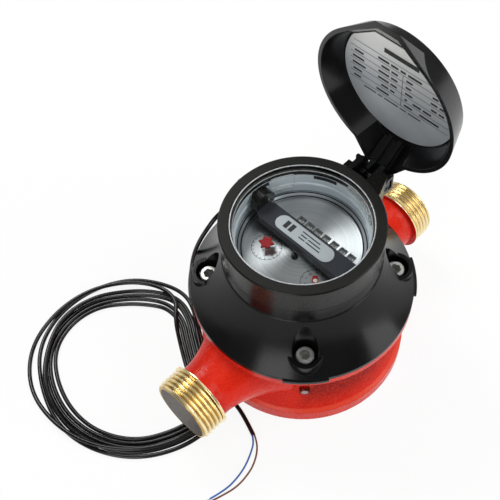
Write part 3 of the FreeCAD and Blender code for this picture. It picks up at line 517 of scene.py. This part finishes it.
def hoop(inner, outer, low, high, steps, first=0.0, last=360.0):
    """Points and faces of a ring, or part of one, round the register's axis, with a rectangular section."""
    profile = [(outer, low), (outer, high), (inner, high), (inner, low)]
    return turned(profile, (0.0, 0.0), steps, first, last, closed=True)


def bar_marks(rows, place):
    """Flat rectangles (left, right, low, high) on a face, put there by place."""
    points = []
    faces = []
    for left, right, low, high in rows:
        start = len(points)
        points.extend(place(u, v) for u, v in ((left, low), (right, low), (right, high), (left, high)))
        faces.append((start, start + 1, start + 2, start + 3))
    return points, faces


def together(*parts):
    """Several sets of points and faces as one."""
    points = []
    faces = []
    for more_points, more_faces in parts:
        start = len(points)
        points.extend(more_points)
        faces.extend(tuple(start + k for k in face) for face in more_faces)
    return points, faces


def trim(name, parts, body, material, smooth=False):
    """A piece made of sets of points and faces."""
    return piece(name, mesh_of(name, *together(*parts), smooth), body, [material])


def smooth_line(name, points, radius, material):
    """A round cord along one NURBS spline with these control points, in millimetres."""
    curve = bpy.data.curves.new(name, "CURVE")
    curve.dimensions = "3D"
    spline = curve.splines.new("NURBS")
    spline.points.add(len(points) - 1)
    for spot, point in zip(spline.points, points):
        spot.co = (*metres(point), 1.0)
    spline.order_u = 3
    spline.use_endpoint_u = True
    spline.use_smooth = True
    curve.resolution_u = 8
    curve.bevel_depth = radius / 1000.0
    curve.bevel_resolution = 6
    curve.use_fill_caps = True
    curve.materials.append(material)
    return curve


# The cable: out of the gland, down behind the head, six loose turns on the floor and out under the inlet.
CABLE_LEAD = [(2.0, 39.9, 83.0), (2.0, 39.9, 79.2), (-1.0, 41.6, 74.6), (-6.6, 44.2, 71.6),
              (-12.6, 45.2, 69.0), (-17.4, 46.0, 64.4), (-21.4, 47.8, 57.4), (-24.8, 49.5, 48.4),
              (-28.0, 49.8, 38.0), (-30.8, 48.6, 27.0), (-33.2, 46.8, 16.0), (-35.0, 44.8, 7.6),
              (-37.2, 41.8, 3.8)]
CABLE_TAIL = [(-52.2, 11.6, 1.1), (-54.2, 4.0, 1.1), (-54.6, -4.0, 1.1), (-56.4, -14.0, 1.1),
              (-60.3, -24.2, 1.1)]
# Middle of the coil at sixteen stations round it, starting where the lead comes down on it.
COIL_STATIONS = [(-45.6, 36.0), (-54.0, 20.0), (-60.5, 4.5), (-72.0, -2.6), (-89.0, 0.4), (-106.0, 12.0),
                 (-117.0, 30.5), (-120.3, 51.0), (-115.5, 72.5), (-103.0, 88.5), (-85.0, 96.6), (-65.0, 95.6),
                 (-47.5, 85.6), (-35.6, 73.0), (-31.8, 59.0), (-37.5, 46.5)]
# How far outside that middle each turn lies at each station, and how high where it lies on others.
COIL_LANES = [
    [3.4, 2.6, 0.2, 1.0, 0.6, 1.4, 3.6, 5.5, 8.0, 7.8, 4.4, 3.2, 2.7, 0.0, -3.0, -7.6],
    [-6.35, -6.9, -6.2, -5.0, -5.8, -4.5, -4.4, -5.4, -6.5, -5.5, -6.4, -7.9, -10.5, -11.7, -9.9, -5.3],
    [-4.1, -4.65, -3.9, -2.6, -3.4, -2.2, -2.1, -2.5, -3.4, -3.2, -4.1, -5.6, -7.4, -8.4, -7.2, -3.05],
    [-1.85, -2.4, -1.6, -0.3, -1.1, 0.1, 0.2, -0.2, -1.1, -0.9, -1.8, -3.3, -5.1, -5.6, -3.5, -0.8],
    [0.4, -0.1, 0.7, 2.0, 1.3, 2.4, 2.5, 2.0, 0.1, -2.0, -0.6, -2.0, -2.6, -2.9, -1.1, 1.45],
    [2.65, 2.2, 3.0, 4.3, 4.2, 4.7, 4.9, 4.4, 1.9, 3.3, 3.3, 3.9, 5.2, 2.9, 3.4, 3.7],
]
COIL_HEIGHTS = {
    0: [3.4, 3.4, 3.4, 3.4, 3.4, 3.4, 3.4, 3.3, 1.15, 1.15, 3.2, 3.3, 2.8, 2.9, 3.7, 3.4],
    4: [1.1, 1.1, 1.1, 1.1, 1.1, 1.1, 1.1, 1.9, 3.35, 3.4, 3.4, 3.2, 1.5, 1.1, 1.1, 1.1],
}
TAIL_LANES = [4.9, 4.5]
BLUE_CORE = [(-60.83, -24.05, 1.1), (-62.7, -26.9, 0.8), (-67.0, -29.4, 0.5), (-73.9, -32.4, 0.5),
             (-81.1, -33.8, 0.5), (-89.0, -33.9, 0.5), (-97.1, -31.6, 0.5)]
BROWN_CORE = [(-59.83, -24.42, 1.1), (-61.6, -28.0, 0.8), (-65.2, -31.6, 0.5), (-70.0, -34.4, 0.5),
              (-74.9, -36.0, 0.5), (-82.4, -36.8, 0.5), (-89.4, -35.6, 0.5), (-97.0, -33.0, 0.5)]
# A core's bare end: places along it, from the end of its sheath, and its radius there.
TIP_PROFILE = [(-1.2, 0.0), (-1.2, 0.3), (0.0, 0.33), (1.6, 0.31), (3.0, 0.26), (3.6, 0.14), (3.7, 0.0)]
TIP_STEPS = 18
TIP_STRANDS = 6.0
TIP_TWIST = 1.1


def beside(station, lane, height):
    """Point beside the coil's middle line, outward by lane."""
    count = len(COIL_STATIONS)
    before = Vector(COIL_STATIONS[station - 1])
    after = Vector(COIL_STATIONS[(station + 1) % count])
    run = (after - before).normalized()
    middle = Vector(COIL_STATIONS[station])
    spot = middle + Vector((-run.y, run.x)) * lane
    return (spot.x, spot.y, height)


def cable_points():
    points = list(CABLE_LEAD)
    for turn, lanes in enumerate(COIL_LANES):
        heights = COIL_HEIGHTS.get(turn, [CABLE_RADIUS] * len(lanes))
        for station, lane in enumerate(lanes):
            points.append(beside(station, lane, heights[station]))
    for station, lane in enumerate(TAIL_LANES):
        points.append(beside(station, lane, CABLE_RADIUS))
    return points + CABLE_TAIL


def tip_of(name, points, material):
    """The tinned strands at a core's end, twisted to a point."""
    end = Vector(points[-1])
    out = (end - Vector(points[-2])).normalized()
    side = out.cross(Vector((0.0, 0.0, 1.0))).normalized()
    above = side.cross(out)
    rows = []
    for run, radius in TIP_PROFILE:
        row = []
        for k in range(TIP_STEPS + 1):
            turn = math.tau * k / TIP_STEPS
            angle = turn + run * TIP_TWIST
            strand = radius * (1.0 + 0.12 * math.cos(TIP_STRANDS * turn))
            row.append(end + out * run + side * strand * math.cos(angle) + above * strand * math.sin(angle))
        rows.append(row)
    return trim(name, [grid(rows)], "base", material, smooth=True)


def lay_cords(black, blue, brown, tin):
    cable = piece("cable", smooth_line("cable", cable_points(), CABLE_RADIUS, black), "base")
    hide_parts("cable_lead", "cable_coil", "cable_tail")
    for name, points, material, slot in (("blue_wire", BLUE_CORE, blue, "core_blue"),
                                         ("brown_wire", BROWN_CORE, brown, "core_brown")):
        wire = piece(name, smooth_line(name, points, CORE_RADIUS, material), "base")
        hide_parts(slot.split("_")[1] + "_core")
        tip = tip_of(name + "_tip", points, tin)


# One turn of the thread: its height, 0 at the root and 1 at the crest, at each share of the pitch.
THREAD_STOPS = [(0.0, 1.0), (0.06, 0.97), (0.1, 0.9), (0.25, 0.5), (0.4, 0.1), (0.44, 0.03), (0.5, 0.0),
                (0.56, 0.03), (0.6, 0.1), (0.75, 0.5), (0.9, 0.9), (0.94, 0.97), (1.0, 1.0)]
THREAD_STEPS = 96


def thread_height(phase):
    for (low, first), (high, second) in zip(THREAD_STOPS, THREAD_STOPS[1:]):
        if phase <= high:
            return first + (second - first) * (phase - low) / (high - low)
    return 1.0


def thread_radius(x, turn):
    """Radius of the threaded barrel at a place along it and a turn, in turns, round it."""
    phase = (x / THREAD_PITCH - turn) % 1.0
    radius = THREAD_ROOT + (THREAD_CREST - THREAD_ROOT) * thread_height(phase)
    chamfer = THREAD_ROOT + (BARREL_END - x)
    return min(radius, chamfer)


def around_port(side, x, radius, turn):
    angle = math.tau * turn
    return (side * x, side * radius * math.cos(angle), PORT_Z + radius * math.sin(angle))


def port_rings(side, profile):
    """Points and faces of a profile of (x, radius) swept round a port's axis."""
    turns = [k / THREAD_STEPS for k in range(THREAD_STEPS + 1)]
    return grid([[around_port(side, x, radius, turn) for turn in turns] for x, radius in profile])


def threaded_end(name, side, material):
    """One port's brass end: the rim behind the thread, the thread as a true helix, and the mouth."""
    first = math.floor(THREAD_START / THREAD_PITCH) - 1
    last = math.ceil(BARREL_END / THREAD_PITCH) + 1
    rows = []
    for whole in range(first, last):
        for part, _ in THREAD_STOPS[:-1]:
            row = []
            for k in range(THREAD_STEPS + 1):
                turn = k / THREAD_STEPS
                x = min(BARREL_END, max(THREAD_START, (whole + part + turn) * THREAD_PITCH))
                row.append(around_port(side, x, thread_radius(x, turn), turn))
            rows.append(row)
    mouth = [(BARREL_END, THREAD_ROOT), (BARREL_END, MOUTH_RADIUS + 0.3), (BARREL_END - 0.3, MOUTH_RADIUS)]
    rim = [(BARREL_START, RIM_RADIUS), (BARREL_START + 0.8, RIM_RADIUS), (BARREL_START + 1.1, THREAD_CREST),
           (BARREL_START + 1.1, THREAD_ROOT - 0.2)]
    parts = [grid(rows), port_rings(side, mouth), port_rings(side, rim)]
    trim(name, parts, "base", material, smooth=True)


def cast_body(paint, bore, steel):
    """The casting without its plain barrels, whose place the threaded ends take. Its plug is bare steel."""
    mesh = nodes["meter_body"].data.copy()
    mesh.name = "cast_body"
    work = bmesh.new()
    work.from_mesh(mesh)
    gone = []
    for face in work.faces:
        middle = face.calc_center_median() * 1000.0
        radius = math.hypot(middle.y, middle.z - PORT_Z)
        on_barrel = abs(middle.x) > BARREL_START + SLACK and radius > BARREL_SKIN
        on_rim = abs(middle.x) > BARREL_END - SLACK
        if on_barrel or on_rim:
            gone.append(face)
    bmesh.ops.delete(work, geom=gone, context="FACES")
    work.to_mesh(mesh)
    work.free()
    mesh.materials.clear()
    made = piece("cast_body", mesh, "base", [paint, bore, steel])
    for face in mesh.polygons:
        middle = face.center * 1000.0
        radius = math.hypot(middle.y, middle.z - PORT_Z)
        inside = radius < MOUTH_RADIUS + 0.2 and abs(middle.x) > BARE_BORE_START
        out = -(middle.x + middle.y) / math.sqrt(2.0)
        aside = math.hypot((middle.x - middle.y) / math.sqrt(2.0), middle.z - PLUG_Z)
        on_plug = out > PLUG_START and aside < PLUG_RADIUS + SLACK
        face.material_index = 1 if inside else 2 if on_plug else 0
    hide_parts("meter_body")


def glyphs(text, size):
    """Points in millimetres and faces of a line of figures, centred on the origin."""
    font = bpy.data.curves.new("figures", "FONT")
    font.body = text
    font.size = size
    font.align_x = "CENTER"
    font.align_y = "CENTER"
    font.resolution_u = 4
    holder = bpy.data.objects.new("figures", font)
    scene.collection.objects.link(holder)
    bpy.context.view_layer.update()
    mesh = bpy.data.meshes.new_from_object(holder.evaluated_get(bpy.context.evaluated_depsgraph_get()))
    points = [tuple(vertex.co) for vertex in mesh.vertices]
    faces = [tuple(face.vertices) for face in mesh.polygons]
    bpy.data.objects.remove(holder)
    bpy.data.curves.remove(font)
    bpy.data.meshes.remove(mesh)
    return points, faces


def roller_y(k):
    """Middle of a number roller, counted from 0."""
    return FIRST_ROLLER_Y + ROLLER_STEP * k


def roller_figures(material):
    """Figures 0 to 9 round each drum, reading from the register's front."""
    height = 3.7
    narrowing = 0.8
    reach = ROLLER_RADIUS + PRINT_LIFT
    figures = [glyphs(str(value), height) for value in range(10)]
    for k in range(ROLLER_COUNT):
        parts = []
        for value, (points, faces) in enumerate(figures):
            wrapped = []
            for right, up, _ in points:
                angle = up / ROLLER_RADIUS - math.radians(36.0 * value)
                wrapped.append((ROLLER_X + reach * math.sin(angle), roller_y(k) - right * narrowing,
                                ROLLER_Z + reach * math.cos(angle)))
            parts.append((wrapped, faces))
        trim(f"roller_figures_{k + 1}", parts, f"roller_{k + 1}", material)


# Frame printed round a roller's window, which is also painted shade of the window's depth: rectangles (left,
# right, low, high) about its middle.
WINDOW_FRAME = [(-2.5, 2.5, -1.95, -1.6), (-2.5, 2.5, 1.6, 1.95), (-2.5, -2.2, -1.6, 1.6),
                (2.2, 2.5, -1.6, 1.6)]


def dial_print(material):
    """Print on the dial: ticked rings round star and pointer, the pointer's figures, and window frames, which
    are also painted shade of the windows' depth.
    """
    z = DIAL_FACE + PRINT_LIFT
    line = 0.22
    tick_length = 0.9
    tick_half = 0.13
    figures_at = 4.6
    figure_height = 1.9
    parts = []
    for centre, radius, ticks in ((STAR_AT, 6.9, 20), (POINTER_AT, 6.6, 10)):
        parts.append(turned([(radius, z), (radius + line, z)], centre, 72))
        for k in range(ticks):
            angle = math.tau * k / ticks
            out = Vector((math.cos(angle), math.sin(angle)))
            side = Vector((-out.y, out.x)) * tick_half
            low = Vector(centre) + out * (radius - tick_length)
            high = Vector(centre) + out * radius
            corners = [low - side, low + side, high + side, high - side]
            parts.append(([(corner.x, corner.y, z) for corner in corners], [(0, 1, 2, 3)]))
    for value in range(10):
        angle = math.radians(-36.0 * value)
        centre = Vector(POINTER_AT) + Vector((math.cos(angle), math.sin(angle))) * figures_at
        points, faces = glyphs(str(value), figure_height)
        parts.append(([(centre.x + up, centre.y - right, z) for right, up, _ in points], faces))
    # Window frames: print, and also painted shade where the windows are deep.
    windows = [(left, right, roller_y(k) + low, roller_y(k) + high)
               for k in range(ROLLER_COUNT) for left, right, low, high in WINDOW_FRAME]
    parts.append(bar_marks(windows, lambda u, v: (ROLLER_X + u, v, z)))
    trim("dial_print", parts, "base", material)


def swung(x, y, z):
    """Where a point of the closed lid is when the lid is open."""
    return HINGE + Matrix.Rotation(LID_OPEN, 4, "Y") @ (Vector((x, y, z)) - HINGE)


# Side of the flap, as x and z with the lid closed, and the two ends of it.
FLAP_SIDE = [(45.6, 91.9), (46.4, 91.9), (46.0, 96.4), (45.4, 97.6), (44.2, 97.6), (44.4, 96.5), (45.6, 96.4)]
FLAP_ENDS = (-7.4, 3.5)


def lid_flap(material):
    """A skirt behind the two arms of the lid, between the ears of the hood."""
    count = len(FLAP_SIDE)
    points = [swung(x, y, z) for y in FLAP_ENDS for x, z in FLAP_SIDE]
    faces = [tuple(range(count)), tuple(range(count, 2 * count))]
    faces.extend((k, (k + 1) % count, count + (k + 1) % count, count + k) for k in range(count))
    trim("lid_flap", [(points, faces)], "lid", material)


# The table on the lid's plate: its lines, the rule between its columns, and rows of bars, each as its
# middle, height and spans.
TABLE_LINES = (13.4, 9.6, 5.8, 2.0, -1.8, -5.6, -9.4)
TABLE_HALF = 27.2
LINE_HALF = 0.14
TABLE_COLUMN = (1.6, 1.88, -9.4, 9.6)
TABLE_BARS = [
    (17.6, 2.6, [(-9.0, 9.5)]),
    (11.2, 1.3, [(-12.0, -6.0), (-5.0, -1.0), (0.2, 3.0), (4.2, 11.5)]),
    (7.4, 1.2, [(-25.0, -20.0), (-10.0, -5.5), (-4.5, -1.0), (3.5, 7.0), (17.5, 20.5)]),
    (3.6, 1.2, [(-26.0, -19.5), (-11.5, -5.5), (-4.5, -1.0), (3.5, 6.5), (17.0, 20.5), (21.5, 24.5)]),
    (-0.2, 1.2, [(-26.0, -18.5), (-11.5, -5.5), (-4.5, -1.0), (3.5, 7.5), (17.5, 20.5), (21.5, 24.5)]),
    (-4.0, 1.2, [(-25.5, -20.5), (-9.5, -5.5), (-4.5, -2.0), (3.5, 5.0), (8.0, 12.5), (13.5, 18.0)]),
    (-7.8, 1.2, [(-25.0, -21.0), (-12.0, -5.0), (3.5, 8.0), (12.0, 22.5)]),
    (-11.4, 0.8, [(-19.0, -12.0), (-11.0, -8.5), (-7.5, 0.5), (1.5, 5.0), (6.0, 13.0)]),
]
# Marks on the pulser's foil.
FOIL_MARKS = [(-10.5, -8.3, -1.9, 2.3), (-7.4, -5.2, -1.9, 2.3), (-1.5, 9.0, 1.9, 2.5), (-1.0, 2.6, 0.1, 0.7),
              (3.4, 10.5, 0.1, 0.7), (-1.0, 2.6, -1.6, -1.0), (3.4, 11.5, -1.6, -1.0)]


def lid_print(material):
    """A blank data table of lines and plain bars on the plate inside the lid."""
    rows = []
    for v in TABLE_LINES:
        half = min(TABLE_HALF, math.sqrt(PLATE_RADIUS ** 2 - v ** 2))
        rows.append((-half, half, v - LINE_HALF, v + LINE_HALF))
    rows.append(TABLE_COLUMN)
    for v, tall, spans in TABLE_BARS:
        rows.extend((left, right, v - tall / 2.0, v + tall / 2.0) for left, right in spans)
    marks = bar_marks(rows, lambda u, v: swung(-v, -u, LABEL_FACE - LID_PRINT_GAP))
    trim("lid_print", [marks], "lid", material)


def bar_print(material):
    """Plain rules on the pulser's foil."""
    marks = bar_marks(FOIL_MARKS, lambda u, v: (v, -u, BAR_LABEL_FACE + PRINT_LIFT))
    trim("bar_print", [marks], "base", material)


def dial_post(material):
    """Small black guide post beside the bar."""
    profile = [(0.0, 79.3), (0.7, 79.3), (1.05, 79.1), (1.15, 78.7), (1.15, 77.9), (1.6, 77.6),
               (1.6, DIAL_FACE + 0.01)]
    trim("dial_post", [turned(profile, POST_AT, 32)], "base", material, smooth=True)


def cover_details(frosted, pale, dark):
    """The clear cover's rim lines and its bayonet tab's edges, pale as painted highlights, its grip strip,
    and the slots that its tabs turn into, drawn as dark strips of painted shade.
    """
    # Painted highlights: pale lines on the cover's rims and round its tab.
    rims = [hoop(31.75, 32.25, 96.05, 96.34, 128), hoop(30.8, 31.15, 93.4, 93.65, 128)]
    trim("cover_rim", rims, "base", pale, smooth=True)
    tab_edges = ((50.5, 71.5, 92.0, 92.5), (50.5, 71.5, 83.6, 84.0), (50.5, 51.4, 83.6, 92.5),
                 (70.6, 71.5, 83.6, 92.5))
    tabs = [hoop(29.5, 30.1, low, high, 24, first, last) for first, last, low, high in tab_edges]
    trim("cover_tabs", tabs, "base", pale)
    trim("cover_grip", [hoop(29.9, 30.75, 90.9, 93.2, 48, -43.0, 0.0)], "base", frosted)
    # Painted shade: dark strips where the slots are; nothing is cut.
    slots = [hoop(30.45, 30.66, 88.7, 90.65, 24, first, last) for first, last in ((12.0, 33.0), (73.0, 91.0))]
    trim("can_slots", slots, "base", dark)


def dress_solids(looks, own):
    """Give each solid of the frame the look of its material slot, or one of its own."""
    for part in frame["record"]["subparts"]:
        node = nodes[part["node"]]
        look = own.get(part["node"], looks[part["material_slot"]])
        if len(node.material_slots) == 0:
            node.data.materials.append(look)
        for place in node.material_slots:
            place.material = look


# Half the floor's side and its height, in millimetres, and how much of it shows as plain white.
FLOOR_HALF = 40000.0
FLOOR_Z = -0.05
FLOOR_WHITE = 0.9
WORLD_LIGHT = 0.13
# Each lamp's name, place and side in metres, and power in watts.
LAMPS = (
    ("key", (0.45, -0.65, 1.0), 0.7, 5.8),
    ("low_right", (0.45, -1.05, 0.28), 0.55, 3.4),
    ("low_front", (-1.0, -0.4, 0.46), 0.55, 4.2),
    ("back_left", (0.12, 0.8, 0.95), 0.5, 8.0),
    ("top", (-0.25, -0.15, 1.3), 0.8, 1.6),
    ("far_right", (0.75, 0.05, 0.85), 0.45, 1.5),
)
LAMP_AIM = Vector((0.0, 0.0, 0.05))


def set_floor():
    """A white floor that keeps a soft shadow."""
    corners = [(-FLOOR_HALF, -FLOOR_HALF), (FLOOR_HALF, -FLOOR_HALF), (FLOOR_HALF, FLOOR_HALF),
               (-FLOOR_HALF, FLOOR_HALF)]
    mesh = mesh_of("floor", [(x, y, FLOOR_Z) for x, y in corners], [(0, 1, 2, 3)])
    floor = bpy.data.objects.new("floor", mesh)
    scene.collection.objects.link(floor)
    paper = Surface("floor_paper", (0.92, 0.92, 0.92), 0.9)
    rays = paper.add("ShaderNodeLightPath").outputs
    seen = paper.math("MAXIMUM", rays["Is Camera Ray"], rays["Is Transmission Ray"])
    seen = paper.math("MAXIMUM", seen, rays["Is Glossy Ray"])
    glow = paper.add("ShaderNodeEmission", {"Color": (1.0, 1.0, 1.0, 1.0), "Strength": 1.0})
    paper.show(paper.times(seen, FLOOR_WHITE), paper.shader.outputs[0], glow.outputs[0])
    floor.data.materials.append(paper.material)


def set_light():
    """Plain studio light."""
    world = bpy.data.worlds.new("studio")
    world.use_nodes = True
    background = world.node_tree.nodes["Background"].inputs
    background["Color"].default_value = (1.0, 1.0, 1.0, 1.0)
    background["Strength"].default_value = WORLD_LIGHT
    scene.world = world
    for name, place, size, power in LAMPS:
        data = bpy.data.lights.new(name, "AREA")
        data.shape = "SQUARE"
        data.size = size
        data.energy = power
        lamp = bpy.data.objects.new(name, data)
        lamp.location = place
        aim = LAMP_AIM - Vector(place)
        lamp.rotation_euler = aim.to_track_quat("-Z", "Y").to_euler()
        scene.collection.objects.link(lamp)


# What moulded takes after the name: two tones, roughness, scale and depth of the grain, and for some
# of them how pale the edges are, their rounding and the shine.
PLASTICS = {
    "chamber_plastic": ((0.48, 0.46, 0.40), (0.58, 0.56, 0.50), 0.45, 900.0, 0.0002),
    "piston_black": ((0.02, 0.02, 0.02), (0.03, 0.03, 0.03), 0.4, 900.0, 0.0002),
    "seal_rubber": ((0.012, 0.012, 0.012), (0.02, 0.02, 0.02), 0.6, 1200.0, 0.0002),
    "cover_grey": ((0.004, 0.004, 0.0045), (0.006, 0.006, 0.0065), 0.2, 1300.0, 0.0001, 0.2, 0.0006, 0.2),
    "gear_plastic": ((0.66, 0.63, 0.54), (0.76, 0.73, 0.65), 0.4, 900.0, 0.0002),
    "roller_white": ((0.78, 0.78, 0.76), (0.86, 0.86, 0.84), 0.4, 1200.0, 0.0001),
    "pointer_red": ((0.32, 0.005, 0.008), (0.44, 0.009, 0.012), 0.38, 1200.0, 0.0001, 0.2, 0.0003, 0.3),
    "bar_slate": ((0.024, 0.026, 0.033), (0.033, 0.036, 0.044), 0.5, 1200.0, 0.0001, 0.25, 0.0003, 0.25),
    "reed_glass": ((0.30, 0.42, 0.34), (0.40, 0.52, 0.44), 0.15, 600.0, 0.0001),
    "lid_black": ((0.005, 0.005, 0.0055), (0.008, 0.008, 0.0085), 0.2, 1100.0, 0.0001, 0.2, 0.0005, 0.45),
    "gasket_grey": ((0.07, 0.07, 0.068), (0.11, 0.11, 0.105), 0.4, 900.0, 0.0001),
}
# What plain_metal takes after the name: two tones and the roughness.
METALS = {
    "strainer_steel": ((0.80, 0.74, 0.66), (0.98, 0.92, 0.83), 0.5),
    "partition_steel": ((0.45, 0.45, 0.46), (0.62, 0.62, 0.62), 0.3),
    "magnet": ((0.07, 0.07, 0.07), (0.13, 0.13, 0.13), 0.5),
    "pressure_brass": ((0.60, 0.40, 0.14), (0.75, 0.54, 0.22), 0.34),
    "plate_brass": ((0.55, 0.38, 0.14), (0.72, 0.53, 0.24), 0.36),
    "blackened_steel": ((0.010, 0.010, 0.010), (0.02, 0.02, 0.02), 0.4),
}

set_camera()
black_sheath = sheath("black_sheath", (0.004, 0.004, 0.004), (0.007, 0.007, 0.007), 0.2)
blue_sheath = sheath("blue_sheath", (0.03, 0.12, 0.45), (0.05, 0.17, 0.55), 0.35)
brown_sheath = sheath("brown_sheath", (0.16, 0.05, 0.025), (0.22, 0.075, 0.04), 0.35)
tin = plain_metal("tin", (0.50, 0.48, 0.45), (0.72, 0.70, 0.66), 0.3)
lay_cords(black_sheath, blue_sheath, brown_sheath, tin)

dark_print = ink()
looks = {name: moulded(name, *values).material for name, values in PLASTICS.items()}
looks.update({name: plain_metal(name, *values) for name, values in METALS.items()})
looks.update({
    "body_red": red_paint(),
    "brass": looks["pressure_brass"],
    "screw_steel": screw_steel(),
    "hood_black": hood_plastic(),
    "clear_glass": clear_cover(),
    "can_zinc": spun("can_zinc", (0.70, 0.78, 0.83), (0.86, 0.93, 0.97), 0.36, 900.0, metal=0.15).material,
    "dial_silver": spun("dial_silver", (0.52, 0.54, 0.55), (0.72, 0.74, 0.75), 0.42, 1400.0, 0.9).material,
    "label_silver": foil("label_silver", (0.46, 0.49, 0.52), (0.60, 0.63, 0.66)),
    "cable_black": black_sheath,
    "core_blue": blue_sheath,
    "core_brown": brown_sheath,
})
own_looks = {
    "hinge_pin": looks["blackened_steel"],
    "dial_ring": lined_ring(),
    "glass_gasket": looks["gasket_grey"],
}
dress_solids(looks, own_looks)
cast_body(looks["body_red"], bore_metal(), plug_steel())
brass = bare_brass()
for side, name in ((-1.0, "inlet_thread_end"), (1.0, "outlet_thread_end")):
    threaded_end(name, side, brass)
roller_figures(dark_print)
dial_print(dark_print)
dial_post(looks["hood_black"])
lid_flap(looks["lid_black"])
lid_print(dark_print)
bar_print(dark_print)
cover_details(frosted_clear(), bright_edge(), dark_print)
set_floor()
set_light()
